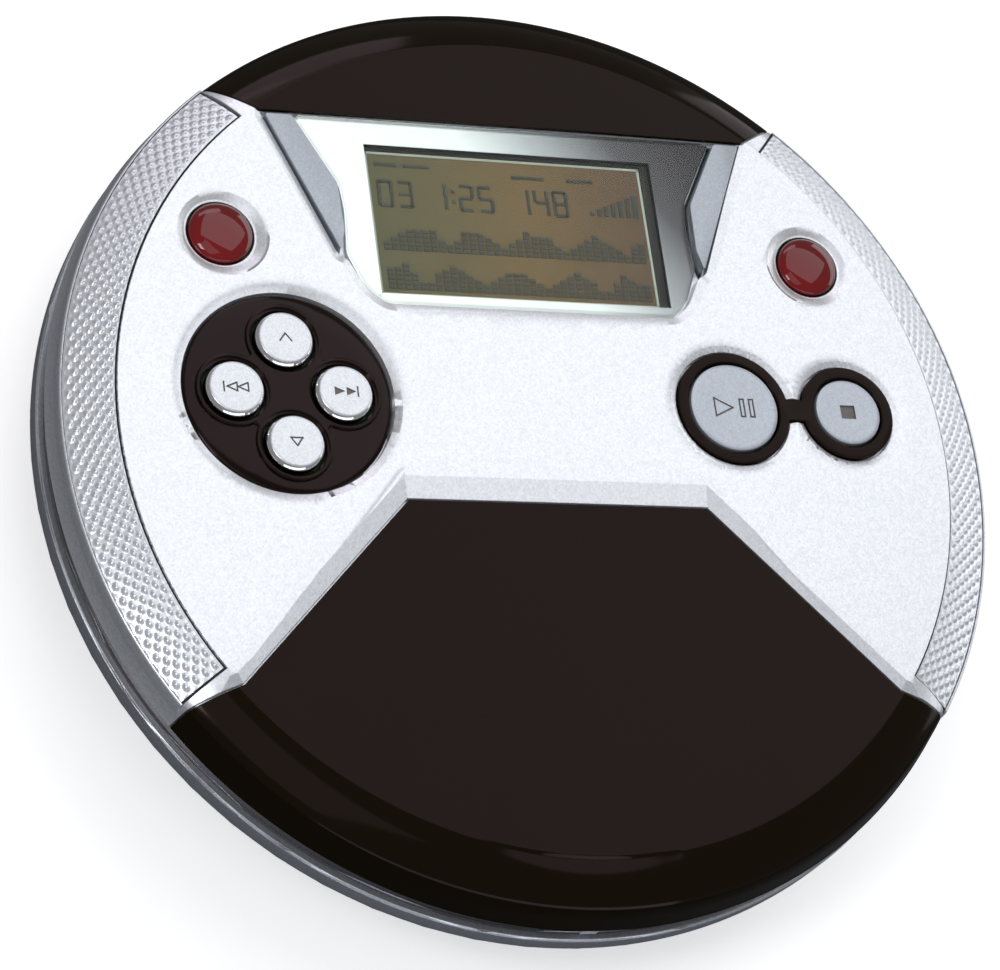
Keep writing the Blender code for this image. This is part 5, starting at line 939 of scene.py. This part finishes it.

# silver behind the window with a painted reflection: pale on the left, dark on the right
silverWithPaintedReflection, surTree, surShader, surSpot = newMaterial("silverPaintedReflection", {"Metallic": 0.7, "Roughness": 0.3})
surSpin = addNode(surTree, "ShaderNodeMapping", {"Rotation": (0, 0, math.radians(-34))}, {"Vector": surSpot})
surSplit = addNode(surTree, "ShaderNodeSeparateXYZ", None, {0: surSpin.outputs[0]})
surSpan = {1: -0.010, 2: 0.047, 3: 0.0, 4: 1.0}
surAcross = addNode(surTree, "ShaderNodeMapRange", surSpan, {0: surSplit.outputs[0]})
# painted reflection: tones run from pale to dark across the surround
paintedReflectionTones = ((0.0, "#E6E7EB"), (0.50, "#D6D8DD"), (0.66, "#9C9DA5"), (0.84, "#4A464D"), (1.0, "#2C272E"))
colourAlong(surTree, surShader, surAcross.outputs[0], [(place, toLinear(tone)) for place, tone in paintedReflectionTones])

framePlate = outlinePlate("windowSurround", rounded(windowOutline, 0.8), 25.9, 26.45)
carve(framePlate, outlinePlate("frameHole", oblong(*lcd["frameHole"]), 25, 27))
done(framePlate, "lid", "window_surround", silverWithPaintedReflection, "lcd_frame")
# dark walls of the well down to the crystal, painted shade, with a black sheet of painted shadow over the
# crystal's right and rear edges
wellWall = outlinePlate("displayWell", oblong(*lcd["well"]), 25.0, 26.35)
carve(wellWall, outlinePlate("wellHole", oblong(*lcd["shadowSheetOpening"]), 24.0, 27.0))
carve(wellWall, outlinePlate("shadowSheetCut", oblong(*lcd["shadowSheetReach"]), 25.62, 27.0))
carve(wellWall, outlinePlate("crystalRoom", oblong(*lcd["crystalRoom"]), 24.0, 25.53))
done(wellWall, "lid", "black_plastic", paintedShadeBlack)

# polished acrylic, cut with a bevelled edge
glass = {"Base Color": toLinear("#F2F7F2"), "Roughness": 0.02, "Transmission Weight": 1.0, "IOR": 1.18}
clearAcrylic = newMaterial("clearAcrylic", glass)[0]
windowLow = grown(rounded(windowOutline, 0.8), -0.05)
windowPane = outlinePlate("windowPane", windowLow, 26.55, [domeZ(x, y) - 0.3 for x, y in windowLow])
softEdges(windowPane, 0.45, 1)
done(windowPane, "lid", "clear_window", clearAcrylic, "lcd_window", angle=15)

for side, node in ((1, "mode_key"), (-1, "display_key")):
    corners = rounded(grown([(side * x, y) for x, y in longKeyCorners], -0.03), 0.5)
    bar = outlinePlate(node.replace("_key", "Bar"), corners, 25.4, [domeZ(x, y) + 0.12 for x, y in corners])
    softEdges(bar, 0.35, 3)
    done(bar, node + "_body", "key_silver", barShadedSilver, node, angle=35)

print("stage: belt and base")

# smooth skins over the faceted solids beneath
beltLine = [(65.6, 16.12), (65.86, 16.2), (65.9, 17.6), (65.86, 19.1), (65.6, 19.18)]
beltBand = turned("beltBand", beltLine, 240, closed=True)
carve(beltBand, outlinePlate("sliderSlot", oblong(-6.45, -70, 1.45, -60), 16.5, 18.6))
carve(beltBand, outlinePlate("beltRear", oblong(-17, 55, 17, 70), 15, 20))
hold = {"angle": -49.0, "half": 3.7}
pocket = []
for radius, offset in ((60, -hold["half"]), (70, -hold["half"]), (70, hold["half"]), (60, hold["half"])):
    x, y = polar(radius, hold["angle"])
    dx, dy = polar(offset, hold["angle"] + 90)
    pocket.append((x + dx, y + dy))
carve(beltBand, outlinePlate("holdSlot", pocket, 15, 18.6))
done(beltBand, "base", "belt_dark", beltGraphite, angle=25)

rimLine = [(66.0, 15.6), (66.0, 15.84), (66.8, 15.82), (67.1, 15.62), (67.17, 15.2), (67.17, 13.3), (67.14, 12.95)]
rimLine += [(67.0, 12.6), (64.1, 8.42), (60.62, 3.22), (58.1, 0.79), (57.4, 0.79), (57.4, 1.0), (57.9, 1.2)]
rimLine += [(60.2, 3.3), (63.7, 8.5), (66.6, 12.7), (66.8, 13.3), (66.8, 15.3)]
baseSkin = turned("baseSkin", rimLine, 240, closed=True)
sockets = {"angles": (-15.0, 1.0, 17.0), "radius": 3.5, "depth": 12, "reach": 66.0, "height": 9.0}
selectNothing()
for degrees in sockets["angles"]:
    size = {"radius": sockets["radius"] * mm, "depth": sockets["depth"] * mm}
    bpy.ops.mesh.primitive_cylinder_add(vertices=40, **size)
    bore = bpy.context.object
    x, y = polar(sockets["reach"], degrees)
    place = Matrix.Translation((x * mm, y * mm, sockets["height"] * mm))
    outward = Matrix.Rotation(math.radians(degrees), 4, "Z") @ Matrix.Rotation(math.radians(90), 4, "Y")
    bore.matrix_world = place @ outward
    carve(baseSkin, bore)
done(baseSkin, "base", "base_silver", baseSilver, angle=25)

print("stage: finishes on the solids")

# glass-fibre board under green solder mask, with copper tracks that show through it
boardGreen, boardTree, boardShader, boardSpot = newMaterial("solderMaskGreen", {"Roughness": 0.32})
greens = {"Color1": toLinear("#1E5A34"), "Color2": toLinear("#1A502E"), "Mortar": toLinear("#357A4C")}
pattern = {"Scale": 260.0, "Mortar Size": 0.06, **greens}
tracks = addNode(boardTree, "ShaderNodeTexBrick", pattern, {"Vector": boardSpot})
boardTree.links.new(tracks.outputs["Color"], boardShader.inputs["Base Color"])
relief = {"Strength": 0.3, "Distance": 0.00004}
trackBump = addNode(boardTree, "ShaderNodeBump", relief, {"Height": tracks.outputs["Fac"]})
roundedNormal(boardTree, boardShader, 0.1 * mm, trackBump)

# coated glass: a deep blue cast over the lens
coated = {"Roughness": 0.03, "Specular IOR Level": 0.8, "Coat Weight": 1.0, "Coat Roughness": 0.02}
lensBlue, lensTree, lensShader, _ = newMaterial("coatedGlass", coated)
lensFacing = addNode(lensTree, "ShaderNodeLayerWeight", {"Blend": 0.4}).outputs["Facing"]
colourAlong(lensTree, lensShader, lensFacing, [(0.0, toLinear("#16204A")), (1.0, toLinear("#5A3F86"))])

# shrink film round a steel can: graphite with a pale band at the plus end
cellFilm, cellTree, cellShader, cellSpot = newMaterial("shrinkFilm", {"Roughness": 0.25, "Coat Weight": 0.5})
cellSplit = addNode(cellTree, "ShaderNodeSeparateXYZ", None, {0: cellSpot})
cellSpan = {1: -0.026, 2: 0.026, 3: 0.0, 4: 1.0}
cellAlong = addNode(cellTree, "ShaderNodeMapRange", cellSpan, {0: cellSplit.outputs[0]})
cellStops = [(0.0, toLinear("#33363C")), (0.78, toLinear("#B9BCC2"))]
colourAlong(cellTree, cellShader, cellAlong.outputs[0], cellStops, "CONSTANT")
roundedNormal(cellTree, cellShader, 0.3 * mm)

# body, slot and finish, then the solids that have all three
finishes = [
    ("base", "base_silver", baseSilver, "base_shell"),
    ("battery_door_body", "base_silver", baseSilver, "battery_door"),
    ("base", "black_plastic", blackPlastic, "mid_frame phones_jack line_jack dc_jack"),
    ("slider", "key_silver", keySilver, "open_slider"),
    ("hold", "black_plastic", blackPlastic, "hold_switch"),
    ("lid_switch", "hub_white", whiteAcetal, "lid_switch_pin"),
    ("turntable", "nickel", brightNickel, "spindle_shaft"),
    ("turntable", "hub_white", whiteAcetal, "turntable_hub"),
    ("sled", "black_plastic", blackPlastic, "laser_sled"),
    ("lens", "black_plastic", blackPlastic, "lens_holder"),
    ("lens", "lens_glass", lensBlue, "objective_lens"),
    ("screw", "nickel", brightNickel, "feed_screw"),
    ("lid", "liner_grey", greyPlastic, "lid_liner"),
    ("lid", "key_board_green", boardGreen, "key_board"),
    ("base", "board_green", boardGreen, "main_board"),
    ("base", "hinge_steel", brightNickel, "hinge_pin"),
    ("base", "cell_jacket", cellFilm, "aa_cell_front aa_cell_rear"),
    ("base", "foot_rubber", rubberBlack, "damper_bush_front damper_bush_rear damper_bush_left"),
    ("base", "chassis_steel", zincSteel, "mech_chassis spindle_motor feed_motor"),
    ("base", "nickel", brightNickel, "guide_rod_front guide_rod_rear battery_bridge"),
    ("base", "nickel", brightNickel, "battery_spring_contact battery_plus_contact"),
]
for corner in ("rear_right", "rear_left", "front_right", "front_left"):
    finishes.append(("base", "foot_rubber", rubberBlack, "rubber_foot_" + corner))
    finishes.append(("base", "chassis_steel", zincSteel, "case_screw_" + corner))
# round solids that show get smooth copies; the others keep their own mesh
smoothed = {
    "mid_frame": "deckFrame", "base_shell": "baseCase", "turntable_hub": "discHub",
    "lid_liner": "lidLiner", "battery_door": "batteryDoor",
}
for body, slotName, paint, nodes in finishes:
    for node in nodes.split():
        if node in smoothed:
            done(mergedCopy(node, smoothed[node]), body, slotName, paint, node, angle=20)
            continue
        for place in bpy.data.objects[node].material_slots:
            place.material = paint
